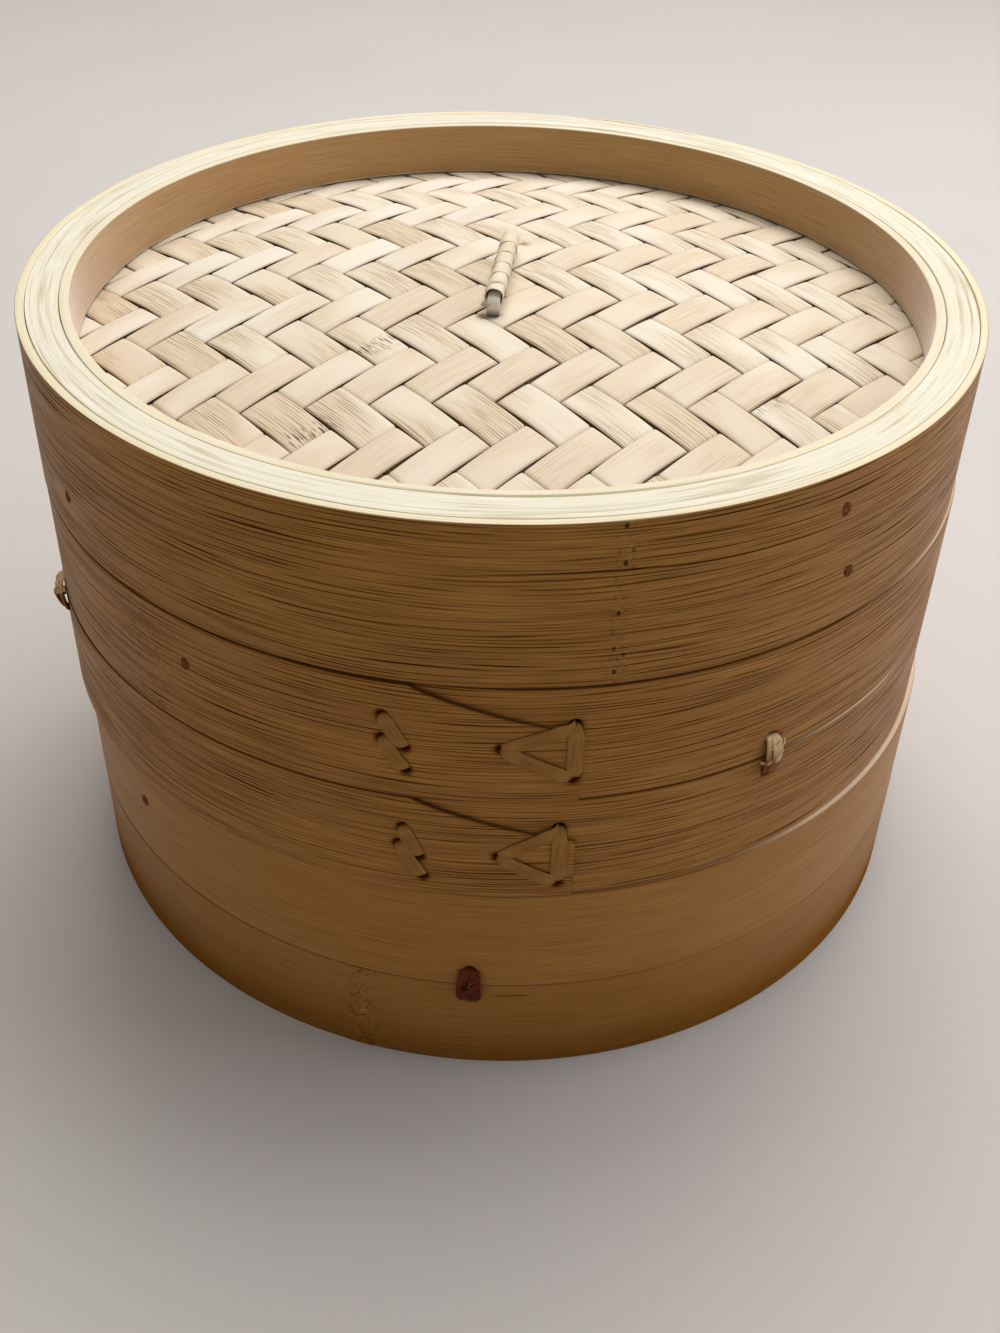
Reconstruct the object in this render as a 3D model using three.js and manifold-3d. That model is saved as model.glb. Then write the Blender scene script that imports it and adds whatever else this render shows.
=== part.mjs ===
// A two-tier bamboo steamer with its lid, in millimetres, +Z up.
// The origin is the centre of the lower tier's base, on the surface that it stands on.

import * as THREE from 'three';
import { mergeVertices } from 'three/addons/utils/BufferGeometryUtils.js';
import Module from 'manifold-3d';

const wasm = await Module();
wasm.setup();

// Bent wall: a thin outer hoop, a thick core hoop behind it and a thin liner inside
const outerRadius = 127;
const outerStripThickness = 2.2;
const coreThickness = 8;
const lidLinerThickness = 2.6;
const layerGap = 0.3;

// Tier: two outer hoops, one above the other, and a neck that stands up into the ring above
const lowerBandHeight = 31.4;
const upperBandHeight = 33.5;
const neckHeight = 8;
const neckThickness = 2.6;
const nestClearance = 2.3;
const nestHeadroom = 1.5;
const seatGap = 0.3;

// The upper tier and the lid rest a little to one side, within the play of the nest
const restShift = 2;

// Floor of a tier
const floorRingWidth = 6;
const floorRingHeight = 8;
const crossBarWidth = 10;
const crossBarThickness = 4;
const crossBarOffset = 50;
const slatWidth = 16;
const slatThickness = 3;
const slatGap = 9.5;
const slatMargin = 6;
const floorEndGap = 0.6;

// Lid
const lidHeight = 42.9;
const panelEdgeDepth = 15.5;
const panelCrown = 10;
const panelThickness = 2.4;

// Handle: a bent strip through two holes in the panel, with a second strip wound round it
const handleLegSpacing = 41.6;
const handleHeight = 4.4;
const handleStripWidth = 3.4;
const handleStripThickness = 1.3;
const handleBendRadius = 2;
const handleTailLength = 12;
const handleTailDrop = 3.6;
const handleRock = 25;
const handleCentre = new THREE.Vector2(-0.42, 3.79);
const handleTurn = -5.8;
const wrapStripWidth = 7.8;
const wrapStripThickness = 0.65;
const wrapGap = 0.6;
const wrapTurns = 3.5;
const wrapClearance = 0.35;
const legClearance = 0.5;

// Lap where a hoop's ends overlap: the over end thins to a tongue that is cut slanting along its top
const lapAngle = 36;
const lapGap = 0.3;
const thinEnd = 0.4;
const tongueProud = 0.7;
const tongueDrop = 13;
const tongueCutStart = 0.5;

// Lacing, knots and pins
const laceWidth = 3.3;
const laceThickness = 0.8;
const laceStep = 0.1;
const laceBend = 2;
const laceClearance = 0.3;
const laceHole = 3.2;
const lacePeg = 2.4;
const knotHoleSpacing = 11;
const knotWidth = 5;
const knotThickness = 3;
const pinRadius = 1.6;
const pinDepth = 8.5;
const pinProud = 0.2;
const pinClearance = 0.3;

// Places round a tier, in degrees from the tip of the tongue, and heights from the middle of a band
const knotAngles = [22.8, -77.7, 152.3];
const pinAngles = [-44.7, 105.3];
const tierPinHeight = 3.5;
const lacings = {
  upper: {
    stitch: [[-20.8, 7], [-18.4, -8.6]],
    triangle: [[-8.5, 0], [-0.9, 6.2], [-0.9, -9.6]],
  },
  lower: {
    stitch: [[-18.9, 5.6], [-16.7, -10]],
    triangle: [[-8.5, -1.7], [-1.9, 6.8], [-1.9, -11]],
  },
};
const upperTierTurn = -80.3;
const lowerTierTurn = -244.9;

// Places round the lid, in degrees from +X, and heights from the lid's lower edge
const lidLapTurn = 96;
const lidPinHighHeight = 32.7;
const lidPinLowHeight = 14.2;
const lidPinLeftHeight = 12.2;
const lidPinLapHeight = 21;
const lidPins = [
  [-52.6, lidPinHighHeight],
  [-50.3, lidPinLowHeight],
  [-145.2, lidPinLeftHeight],
  [84, lidPinLapHeight],
];

// Facets of the bent wall and of smaller rounds
const facetCount = 60;
const facetAngle = 360 / facetCount;
const pegFacets = 10;
const slatEndFacets = 4;
const panelFacets = 5;
const bendFacets = 4;
const wrapFacets = 24;
const mergeTolerance = 1e-4;

// Sizes that follow from those above
const outerStripInner = outerRadius - outerStripThickness;
const coreOuter = outerStripInner - layerGap;
const coreInner = coreOuter - coreThickness;
const linerOuter = coreInner - layerGap;
const lidLinerInner = linerOuter - lidLinerThickness;
const neckOuter = coreInner - nestClearance;
const neckInner = neckOuter - neckThickness;
const tierHeight = lowerBandHeight + layerGap + upperBandHeight;
const stackPitch = tierHeight + seatGap;
const nestTop = neckHeight + nestHeadroom;
const floorRingTop = nestTop + floorRingHeight;
const floorRingInner = linerOuter - floorRingWidth;
const slatBottom = floorRingTop + layerGap;
const slatTop = slatBottom + slatThickness;
const floorEndRadius = coreInner - floorEndGap;
const slatPitch = slatWidth + slatGap;
const slatCount = Math.floor((2 * (floorRingInner - slatMargin) - slatWidth) / slatPitch) + 1;
const lapSteps = Math.round(lapAngle / facetAngle);
const laceLift = tongueProud + laceClearance;
const pegLift = layerGap - outerStripThickness;
const wrapInner = Math.hypot(handleStripWidth, handleStripThickness) / 2 + wrapClearance;
const wrapOuter = wrapInner + wrapStripThickness;
const wrapPitch = wrapStripWidth + wrapGap;

const radians = THREE.MathUtils.degToRad;

// A point on the wall: angle in degrees, height, and radius
function wallPoint(angle, height, radius) {
  const turn = radians(angle);
  return [radius * Math.cos(turn), radius * Math.sin(turn), height];
}

// Arc length on the wall's outside as an angle in degrees
function arcAngle(length) {
  return THREE.MathUtils.radToDeg(length / outerRadius);
}

// Six times the volume that a triangle spans with the origin
function spannedVolume(position, a, b, c) {
  const corners = [a, b, c].map((corner) => new THREE.Vector3().fromBufferAttribute(position, corner));
  return corners[0].dot(corners[1].clone().cross(corners[2]));
}

// Merges shared points, drops collapsed triangles and turns the faces outwards
function closed(source) {
  const bare = source.clone();
  bare.deleteAttribute('normal');
  bare.deleteAttribute('uv');
  const merged = mergeVertices(bare, mergeTolerance);
  const corners = Array.from(merged.index.array);
  const kept = [];
  let volume = 0;
  for (let first = 0; first < corners.length; first += 3) {
    const [a, b, c] = corners.slice(first, first + 3);
    if (a !== b && b !== c && c !== a) {
      kept.push([a, b, c]);
      volume += spannedVolume(merged.attributes.position, a, b, c);
    }
  }
  const outward = volume < 0 ? kept.map(([a, b, c]) => [a, c, b]) : kept;
  merged.setIndex(outward.flat());
  return merged;
}

// A closed solid through a row of sections, each a loop of the same number of points
function loft(sections) {
  const count = sections[0].length;
  const index = [];
  for (let row = 0; row < sections.length - 1; row += 1) {
    for (let side = 0; side < count; side += 1) {
      const a = row * count + side;
      const b = row * count + (side + 1) % count;
      index.push(a, b, b + count, a, b + count, a + count);
    }
  }
  const last = (sections.length - 1) * count;
  for (let side = 1; side < count - 1; side += 1) {
    index.push(0, side + 1, side);
    index.push(last, last + side, last + side + 1);
  }
  const geometry = new THREE.BufferGeometry();
  geometry.setAttribute('position', new THREE.Float32BufferAttribute(sections.flat(2), 3));
  geometry.setIndex(index);
  return closed(geometry);
}

// A ring about +Z from a closed outline of [radius, height] points
function ring(outline) {
  const points = [...outline, outline[0]].map(([radius, height]) => new THREE.Vector2(radius, height));
  const geometry = new THREE.LatheGeometry(points, facetCount);
  geometry.rotateX(Math.PI / 2);
  return closed(geometry);
}

// A plain ring between two radii and two heights
function plainRing(inner, outer, bottom, top) {
  return ring([[inner, bottom], [outer, bottom], [outer, top], [inner, top]]);
}

function toSolid(geometry) {
  const mesh = new wasm.Mesh({
    numProp: 3,
    vertProperties: Float32Array.from(geometry.attributes.position.array),
    triVerts: Uint32Array.from(geometry.index.array),
  });
  return new wasm.Manifold(mesh);
}

function toGeometry(solid) {
  const mesh = solid.getMesh();
  const geometry = new THREE.BufferGeometry();
  geometry.setAttribute('position', new THREE.Float32BufferAttribute(mesh.vertProperties, 3));
  geometry.setIndex(Array.from(mesh.triVerts));
  return geometry;
}

function cut(geometry, cutters) {
  const left = cutters.reduce((solid, cutter) => solid.subtract(toSolid(cutter)), toSolid(geometry));
  return toGeometry(left);
}

function join(geometries) {
  const [first, ...others] = geometries.map(toSolid);
  return toGeometry(others.reduce((solid, other) => solid.add(other), first));
}

// A block across the wall at an angle and a height, between two radii
function wallBlock(angle, height, width, tall, inner, outer) {
  const half = arcAngle(width / 2);
  const section = (radius) => [
    wallPoint(angle - half, height - tall / 2, radius),
    wallPoint(angle + half, height - tall / 2, radius),
    wallPoint(angle + half, height + tall / 2, radius),
    wallPoint(angle - half, height + tall / 2, radius),
  ];
  return loft([section(inner), section(outer)]);
}

// A round peg across the wall at an angle and a height, between two radii
function wallPeg(angle, height, radius, inner, outer) {
  const geometry = new THREE.CylinderGeometry(radius, radius, outer - inner, pegFacets);
  geometry.rotateZ(-Math.PI / 2);
  geometry.translate((inner + outer) / 2, 0, height);
  geometry.rotateZ(radians(angle));
  return closed(geometry);
}

// A hoop bent from one strip. The under end starts thin, and the over end thins to the tongue on it.
// The tip of the tongue is at angle zero.
function bentHoop(bottom, top) {
  const sections = [];
  for (let step = 0; step <= facetCount + lapSteps; step += 1) {
    const angle = step * facetAngle - lapAngle;
    const under = Math.min(step / lapSteps, 1);
    const over = (step - facetCount) / lapSteps;
    const slope = outerStripThickness - thinEnd;
    const inner = over < 0 ? outerStripInner : outerStripInner + thinEnd + lapGap + over * slope;
    const outer = outerStripInner + thinEnd + under * slope + Math.max(over, 0) * tongueProud;
    const fall = Math.max(over - tongueCutStart, 0) / (1 - tongueCutStart);
    const edge = top - fall * tongueDrop;
    sections.push([
      wallPoint(angle, bottom, inner),
      wallPoint(angle, bottom, outer),
      wallPoint(angle, edge, outer),
      wallPoint(angle, edge, inner),
    ]);
  }
  return loft(sections);
}

// A strap that runs up or down the wall. Each point is [angle, height, lift, width, thickness], and the
// thickness stands square to the run in the plane of height and lift.
function wallStrap(points) {
  const sections = points.map(([angle, height, lift, width, thickness], place) => {
    const before = points[Math.max(place - 1, 0)];
    const after = points[Math.min(place + 1, points.length - 1)];
    const run = new THREE.Vector2(after[2] - before[2], after[1] - before[1]).normalize();
    const half = arcAngle(width / 2);
    const rise = -run.x * thickness / 2;
    const reach = run.y * thickness / 2;
    const radius = outerRadius + lift;
    return [
      wallPoint(angle - half, height + rise, radius + reach),
      wallPoint(angle + half, height + rise, radius + reach),
      wallPoint(angle + half, height - rise, radius - reach),
      wallPoint(angle - half, height - rise, radius - reach),
    ];
  });
  return loft(sections);
}

// A flat lace between two [angle, height] points on the wall, lying between two lifts
function wallLace(from, to, low, high) {
  const across = new THREE.Vector2(to[1] - from[1], -radians(to[0] - from[0]) * outerRadius);
  across.setLength(laceWidth / 2);
  const sections = [0, 0.5, 1].map((share) => {
    const angle = THREE.MathUtils.lerp(from[0], to[0], share);
    const height = THREE.MathUtils.lerp(from[1], to[1], share);
    const corner = (side, lift) => wallPoint(
      angle + side * arcAngle(across.x),
      height + side * across.y,
      outerRadius + lift,
    );
    return [corner(-1, low), corner(1, low), corner(1, high), corner(-1, high)];
  });
  return loft(sections);
}

// A slanted stitch over a lap, with both its ends down in their holes
function stitch(holes, middle) {
  const [[angleA, heightA], [angleB, heightB]] = holes;
  const lift = laceLift + laceThickness / 2;
  const peg = [lacePeg, laceThickness];
  const flat = [laceWidth, laceThickness];
  return wallStrap([
    [angleA, middle + heightA, pegLift, ...peg],
    [angleA, middle + heightA, 0, ...peg],
    [angleA, middle + heightA - laceBend, lift, ...flat],
    [angleB, middle + heightB + laceBend, lift, ...flat],
    [angleB, middle + heightB, 0, ...peg],
    [angleB, middle + heightB, pegLift, ...peg],
  ]);
}

// Three laces between the corner holes of a triangle, each a little above the one before, and their pegs
function triangle(holes, middle) {
  const corners = holes.map(([angle, height]) => [angle, middle + height]);
  const pieces = corners.map((corner, place) => wallLace(
    corner,
    corners[(place + 1) % corners.length],
    laceLift + place * laceStep,
    laceLift + laceThickness + place * laceStep,
  ));
  const pegTop = outerRadius + laceLift + laceThickness / 2;
  const pegs = corners.map(([angle, height]) => (
    wallBlock(angle, height, lacePeg, lacePeg, outerRadius + pegLift, pegTop)
  ));
  return join([...pieces, ...pegs]);
}

// A knotted strap across the seam between two outer hoops
function knot(angle, seam) {
  const reach = knotHoleSpacing / 2;
  const bulge = laceClearance + knotThickness / 2;
  const flat = laceClearance + laceThickness / 2;
  const shoulder = knotWidth / 2;
  return wallStrap([
    [angle, seam + reach, pegLift, lacePeg, laceThickness],
    [angle, seam + reach, 0, lacePeg, laceThickness],
    [angle, seam + reach - laceThickness, flat, laceWidth, laceThickness],
    [angle, seam + shoulder / 2, bulge, knotWidth, knotThickness],
    [angle, seam - shoulder, bulge, knotWidth, knotThickness],
    [angle, seam - reach + laceThickness, flat, laceWidth, laceThickness],
    [angle, seam - reach, 0, lacePeg, laceThickness],
    [angle, seam - reach, pegLift, lacePeg, laceThickness],
  ]);
}

// Cutters that open a hoop for laces and knots
function laceHoleAt(angle, height) {
  const outer = outerRadius + outerStripThickness;
  return wallBlock(angle, height, laceHole, laceHole, outerStripInner - layerGap, outer);
}

// A pin through the outer hoop into the core, and the hole that it sits in
function pin(angle, height) {
  return wallPeg(angle, height, pinRadius, outerRadius - pinDepth, outerRadius + pinProud);
}

function pinHole(angle, height) {
  const radius = pinRadius + pinClearance;
  return wallPeg(angle, height, radius, outerRadius - pinDepth - pinClearance, outerRadius + pinDepth);
}

// A floor slat along +Y at a place across the floor, its ends cut to the round of the wall
function slat(across) {
  const outline = [];
  for (const end of [1, -1]) {
    for (let step = 0; step <= slatEndFacets; step += 1) {
      const x = across + end * slatWidth * (step / slatEndFacets - 0.5);
      outline.push(new THREE.Vector2(x, -end * Math.sqrt(floorEndRadius ** 2 - x ** 2)));
    }
  }
  const geometry = new THREE.ExtrudeGeometry(new THREE.Shape(outline), {
    depth: slatThickness,
    bevelEnabled: false,
  });
  geometry.translate(0, 0, slatBottom);
  return closed(geometry);
}

// A cross bar along +X under the slats, let into the floor ring
function crossBar(across, spare) {
  const reach = Math.sqrt(floorEndRadius ** 2 - (Math.abs(across) + crossBarWidth / 2) ** 2);
  const length = 2 * reach + spare;
  const geometry = new THREE.BoxGeometry(length, crossBarWidth + 2 * spare, crossBarThickness + 2 * spare);
  geometry.translate(0, across, floorRingTop - crossBarThickness / 2);
  return closed(geometry);
}

// Height of the panel's top face above the lid's lower edge, at a distance from the axis
function panelHeight(distance) {
  const share = Math.min(distance / lidLinerInner, 1);
  return lidHeight - panelEdgeDepth + panelCrown * (1 - share ** 2);
}

// The domed panel as a plain disc, its flat edge held between the two liners
function panelDisc() {
  const top = [];
  for (let step = 0; step <= panelFacets; step += 1) {
    const distance = lidLinerInner * step / panelFacets;
    top.push([distance, panelHeight(distance)]);
  }
  top.push([linerOuter - layerGap, panelHeight(linerOuter)]);
  const under = top.map(([distance, height]) => [distance, height - panelThickness]).reverse();
  return ring([...top, ...under]);
}

// Points along a run of straight lines whose corners are rounded
function roundedRun(corners, radius) {
  const points = [corners[0]];
  for (let place = 1; place < corners.length - 1; place += 1) {
    const corner = corners[place];
    const start = corner.clone().add(corners[place - 1].clone().sub(corner).setLength(radius));
    const end = corner.clone().add(corners[place + 1].clone().sub(corner).setLength(radius));
    const bend = new THREE.QuadraticBezierCurve(start, corner, end);
    points.push(...bend.getPoints(bendFacets));
  }
  points.push(corners[corners.length - 1]);
  return points;
}

// A strip bent in the plane of x and z, as wide as given along y
function bentStrip(run, width, thickness) {
  const sections = run.map((point, place) => {
    const before = run[Math.max(place - 1, 0)];
    const after = run[Math.min(place + 1, run.length - 1)];
    const along = after.clone().sub(before).normalize();
    const square = new THREE.Vector2(-along.y, along.x).multiplyScalar(thickness / 2);
    const high = point.clone().add(square);
    const low = point.clone().sub(square);
    return [
      [high.x, -width / 2, high.y],
      [high.x, width / 2, high.y],
      [low.x, width / 2, low.y],
      [low.x, -width / 2, low.y],
    ];
  });
  return loft(sections);
}

const legReach = handleLegSpacing / 2;
const hingeHeight = panelHeight(legReach) - panelThickness / 2;
const rollAxisHeight = panelHeight(legReach) + handleHeight;

// The handle's inner strip: two tails under the panel, two legs through it and the bar between them
function handleCore() {
  const tailHeight = hingeHeight - handleTailDrop;
  const corners = [
    new THREE.Vector2(handleTailLength - legReach, tailHeight),
    new THREE.Vector2(-legReach, tailHeight),
    new THREE.Vector2(-legReach, rollAxisHeight),
    new THREE.Vector2(legReach, rollAxisHeight),
    new THREE.Vector2(legReach, tailHeight),
    new THREE.Vector2(legReach - handleTailLength, tailHeight),
  ];
  return bentStrip(roundedRun(corners, handleBendRadius), handleStripWidth, handleStripThickness);
}

// The strip wound round the bar, one unbroken helix
function wrapSections() {
  const sections = [];
  const steps = Math.round(wrapTurns * wrapFacets);
  for (let step = 0; step <= steps; step += 1) {
    const turn = 2 * Math.PI * step / wrapFacets;
    const middle = wrapPitch * (step - steps / 2) / wrapFacets;
    const corner = (side, radius) => [
      middle + side * wrapStripWidth / 2,
      radius * Math.cos(turn),
      rollAxisHeight + radius * Math.sin(turn),
    ];
    sections.push([
      corner(-1, wrapInner),
      corner(1, wrapInner),
      corner(1, wrapOuter),
      corner(-1, wrapOuter),
    ]);
  }
  return sections;
}

// Least distance between points of the winding that lie three quarters of a turn or more apart
function leastWrapGap(sections) {
  const points = sections.map((section) => section.map((point) => new THREE.Vector3(...point)));
  let least = Infinity;
  points.forEach((section, row) => {
    const apart = Math.round(wrapFacets * 3 / 4);
    for (const other of points.slice(row + apart).flat()) {
      for (const point of section) {
        least = Math.min(least, point.distanceTo(other));
      }
    }
  });
  return least;
}

// The slots in the panel for the handle's legs, wide enough for the legs to lean as the handle rocks
function legSlot(side) {
  const lean = radians(handleRock);
  const wide = handleStripWidth / Math.cos(lean) + panelThickness * Math.tan(lean) + 2 * legClearance;
  const long = handleStripThickness + 2 * legClearance;
  const geometry = new THREE.BoxGeometry(long, wide, panelThickness + panelCrown);
  geometry.translate(side * legReach, 0, hingeHeight);
  return closed(placeOnHandle(geometry));
}

// Turns and moves a piece from the handle's own axes, x along its bar, to the lid's
function placeOnHandle(geometry) {
  geometry.rotateZ(Math.PI / 2 + radians(handleTurn));
  geometry.translate(handleCentre.x, handleCentre.y, 0);
  return geometry;
}

function finish(color, roughness) {
  return new THREE.MeshStandardMaterial({ color, roughness, metalness: 0 });
}

const skinFinish = finish(0xb98a4f, 0.55);
const coreFinish = finish(0xeee2bd, 0.7);
const wovenFinish = finish(0xe3cfa6, 0.65);
const laceFinish = finish(0xa27a45, 0.6);
const slatFinish = finish(0xdcc28c, 0.65);
const pinFinish = finish(0x6b4423, 0.7);

function addPiece(group, name, geometry, material) {
  const mesh = new THREE.Mesh(geometry, material);
  mesh.name = name;
  group.add(mesh);
}

// One tier, with the tip of its laps at angle zero and its base at height zero
function buildTier(label) {
  const group = new THREE.Group();
  const seam = lowerBandHeight + layerGap / 2;
  const bands = {
    upper: [lowerBandHeight + layerGap, tierHeight],
    lower: [0, lowerBandHeight],
  };
  const pins = pinAngles.map((angle) => [angle, (bands.upper[0] + bands.upper[1]) / 2 + tierPinHeight]);
  for (const [band, [bottom, top]] of Object.entries(bands)) {
    const middle = (bottom + top) / 2;
    const lacing = lacings[band];
    const knotHole = band === 'upper' ? seam + knotHoleSpacing / 2 : seam - knotHoleSpacing / 2;
    const cutters = [
      ...[...lacing.stitch, ...lacing.triangle].map(([angle, height]) => laceHoleAt(angle, middle + height)),
      ...knotAngles.map((angle) => laceHoleAt(angle, knotHole)),
      ...(band === 'upper' ? pins.map((place) => pinHole(...place)) : []),
    ];
    addPiece(group, `${label}_${band}_outer_hoop`, cut(bentHoop(bottom, top), cutters), skinFinish);
    addPiece(group, `${label}_${band}_lap_stitch`, stitch(lacing.stitch, middle), laceFinish);
    addPiece(group, `${label}_${band}_lap_triangle`, triangle(lacing.triangle, middle), laceFinish);
  }
  knotAngles.forEach((angle, place) => {
    addPiece(group, `${label}_seam_knot_${place + 1}`, knot(angle, seam), laceFinish);
  });
  pins.forEach((place, number) => {
    addPiece(group, `${label}_pin_${number + 1}`, pin(...place), pinFinish);
  });

  const core = plainRing(coreInner, coreOuter, 0, tierHeight);
  addPiece(group, `${label}_core_hoop`, cut(core, pins.map((place) => pinHole(...place))), coreFinish);
  const liner = ring([
    [neckInner, slatTop + layerGap],
    [linerOuter, slatTop + layerGap],
    [linerOuter, tierHeight],
    [neckOuter, tierHeight],
    [neckOuter, tierHeight + neckHeight],
    [neckInner, tierHeight + neckHeight],
  ]);
  addPiece(group, `${label}_liner_hoop`, liner, coreFinish);

  const bars = [-crossBarOffset, crossBarOffset];
  const floorRing = plainRing(floorRingInner, linerOuter, nestTop, floorRingTop);
  const notches = bars.map((across) => crossBar(across, layerGap));
  addPiece(group, `${label}_floor_ring`, cut(floorRing, notches), coreFinish);
  bars.forEach((across, place) => {
    addPiece(group, `${label}_cross_bar_${place + 1}`, crossBar(across, 0), slatFinish);
  });
  for (let place = 0; place < slatCount; place += 1) {
    const across = (place - (slatCount - 1) / 2) * slatPitch;
    addPiece(group, `${label}_slat_${place + 1}`, slat(across), slatFinish);
  }
  return group;
}

// The lid, with its lower edge at height zero
function buildLid() {
  const group = new THREE.Group();
  const holes = lidPins.map((place) => pinHole(...place));
  const hoop = bentHoop(0, lidHeight).rotateZ(radians(lidLapTurn));
  addPiece(group, 'lid_outer_hoop', cut(hoop, holes), skinFinish);
  addPiece(group, 'lid_core_hoop', cut(plainRing(coreInner, coreOuter, 0, lidHeight), holes), coreFinish);
  lidPins.forEach((place, number) => {
    addPiece(group, `lid_pin_${number + 1}`, pin(...place), pinFinish);
  });

  const panelTop = panelHeight(linerOuter);
  const topLiner = plainRing(lidLinerInner, linerOuter, panelTop + layerGap, lidHeight);
  addPiece(group, 'lid_top_liner', topLiner, coreFinish);
  const panelUnder = panelTop - panelThickness;
  const bottomLiner = plainRing(lidLinerInner, linerOuter, nestTop, panelUnder - layerGap);
  addPiece(group, 'lid_bottom_liner', bottomLiner, coreFinish);
  addPiece(group, 'lid_woven_panel', cut(panelDisc(), [-1, 1].map(legSlot)), wovenFinish);

  const winding = wrapSections();
  console.log(`handle_wrap least gap to itself: ${leastWrapGap(winding).toFixed(2)} mm`);
  addPiece(group, 'handle_core', placeOnHandle(handleCore()), laceFinish);
  addPiece(group, 'handle_wrap', placeOnHandle(loft(winding)), wovenFinish);
  return group;
}

const steamer = new THREE.Group();

const lowerTier = buildTier('lower_tier');
lowerTier.rotation.z = radians(lowerTierTurn);
steamer.add(lowerTier);

const upperTier = buildTier('upper_tier');
upperTier.position.set(-restShift, 0, stackPitch);
upperTier.rotation.z = radians(upperTierTurn);
steamer.add(upperTier);

const lid = buildLid();
lid.position.set(-restShift, 0, 2 * stackPitch);
steamer.add(lid);

export default steamer;
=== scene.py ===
# %% [markdown]
# # A two-tier bamboo steamer
#
# The steamer is bent, laced and woven from strips of bamboo. The CAD frame gives every piece its place and
# its main shape. This lesson dresses that frame: it makes each strip again as a smooth surface with the
# small unevenness of hand work, and gives it a finish that shows bamboo's skin, its cut edge and its
# fibres.

import bpy
import numpy as np
from mathutils import Matrix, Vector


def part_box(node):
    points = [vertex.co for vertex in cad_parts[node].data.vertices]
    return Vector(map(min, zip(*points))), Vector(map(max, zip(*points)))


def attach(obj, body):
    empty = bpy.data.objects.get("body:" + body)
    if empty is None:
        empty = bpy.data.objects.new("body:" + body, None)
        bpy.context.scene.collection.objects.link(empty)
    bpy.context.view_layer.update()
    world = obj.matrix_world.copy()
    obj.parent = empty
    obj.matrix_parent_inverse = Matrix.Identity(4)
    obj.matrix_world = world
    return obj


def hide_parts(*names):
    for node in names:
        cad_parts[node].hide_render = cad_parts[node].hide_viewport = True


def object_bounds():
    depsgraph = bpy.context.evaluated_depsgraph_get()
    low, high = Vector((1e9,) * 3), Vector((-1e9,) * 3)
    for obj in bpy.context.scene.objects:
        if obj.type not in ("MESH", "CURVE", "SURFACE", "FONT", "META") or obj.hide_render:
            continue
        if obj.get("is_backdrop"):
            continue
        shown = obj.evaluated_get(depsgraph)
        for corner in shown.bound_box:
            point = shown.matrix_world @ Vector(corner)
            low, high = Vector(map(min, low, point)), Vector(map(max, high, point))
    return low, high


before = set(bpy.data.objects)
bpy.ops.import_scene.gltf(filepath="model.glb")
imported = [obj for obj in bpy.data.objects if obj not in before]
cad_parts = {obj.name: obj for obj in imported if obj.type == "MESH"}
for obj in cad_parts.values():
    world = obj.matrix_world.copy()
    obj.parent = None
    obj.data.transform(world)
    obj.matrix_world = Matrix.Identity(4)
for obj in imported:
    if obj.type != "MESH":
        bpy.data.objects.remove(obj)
cad_low, cad_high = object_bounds()
MM = 0.001

# %% [markdown]
# ## Where each body stands
#
# The lid and both tiers are round, so each has an axis, a base height and a turn about the axis. Reading
# axis and base from the CAD boxes keeps the pieces in the frame, and only the radii are written here. Work
# is done in millimetres, because that is how a maker measures strips, and turned to metres when a mesh is
# made.

# %% Axes, bases and radii, in millimetres
def stand(body, node, turn):
    """The place of a round body: its axis and base from the box of one CAD ring, and its turn in
    degrees."""
    low, high = (np.array(corner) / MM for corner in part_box(node))
    return {"body": body, "axis": (low[:2] + high[:2]) / 2, "base": low[2], "top": high[2], "turn": turn}


LID = stand("lid", "lid_core_hoop", 96.0)
UPPER = stand("upper_tier", "upper_tier_core_hoop", -80.3)
LOWER = stand("lower_tier", "lower_tier_core_hoop", -244.9)
LID_HEIGHT, PANEL_DEPTH = LID["top"] - LID["base"], 15.5
STRIP_OUTSIDE, STRIP_INSIDE = 127.0, 124.8
CORE_OUTSIDE, CORE_INSIDE = 124.5, 116.5
LINER_OUTSIDE, LID_LINER_INSIDE = 116.2, 113.6
NECK_OUTSIDE, NECK_INSIDE = 114.2, 111.6
ARC = np.pi / 180 * STRIP_OUTSIDE  # millimetres along the wall for each degree
for place in (LID, UPPER, LOWER):
    print(place)


def placed(x, y, z, turn, at):
    """Points of a level drawing: turned by degrees about its origin, which is set down at a place."""
    turn = np.radians(turn)
    across, along = x * np.cos(turn) - y * np.sin(turn), x * np.sin(turn) + y * np.cos(turn)
    return np.stack(np.broadcast_arrays(at[0] + across, at[1] + along, z), axis=-1)


def on_wall(place, angle, height, radius):
    """Points of a round wall: turn by angle plus the place's own turn, go out by radius and up from its
    base."""
    turn = np.radians(angle + place["turn"])
    return placed(radius * np.cos(turn), radius * np.sin(turn), place["base"] + height, 0, place["axis"])
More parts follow.
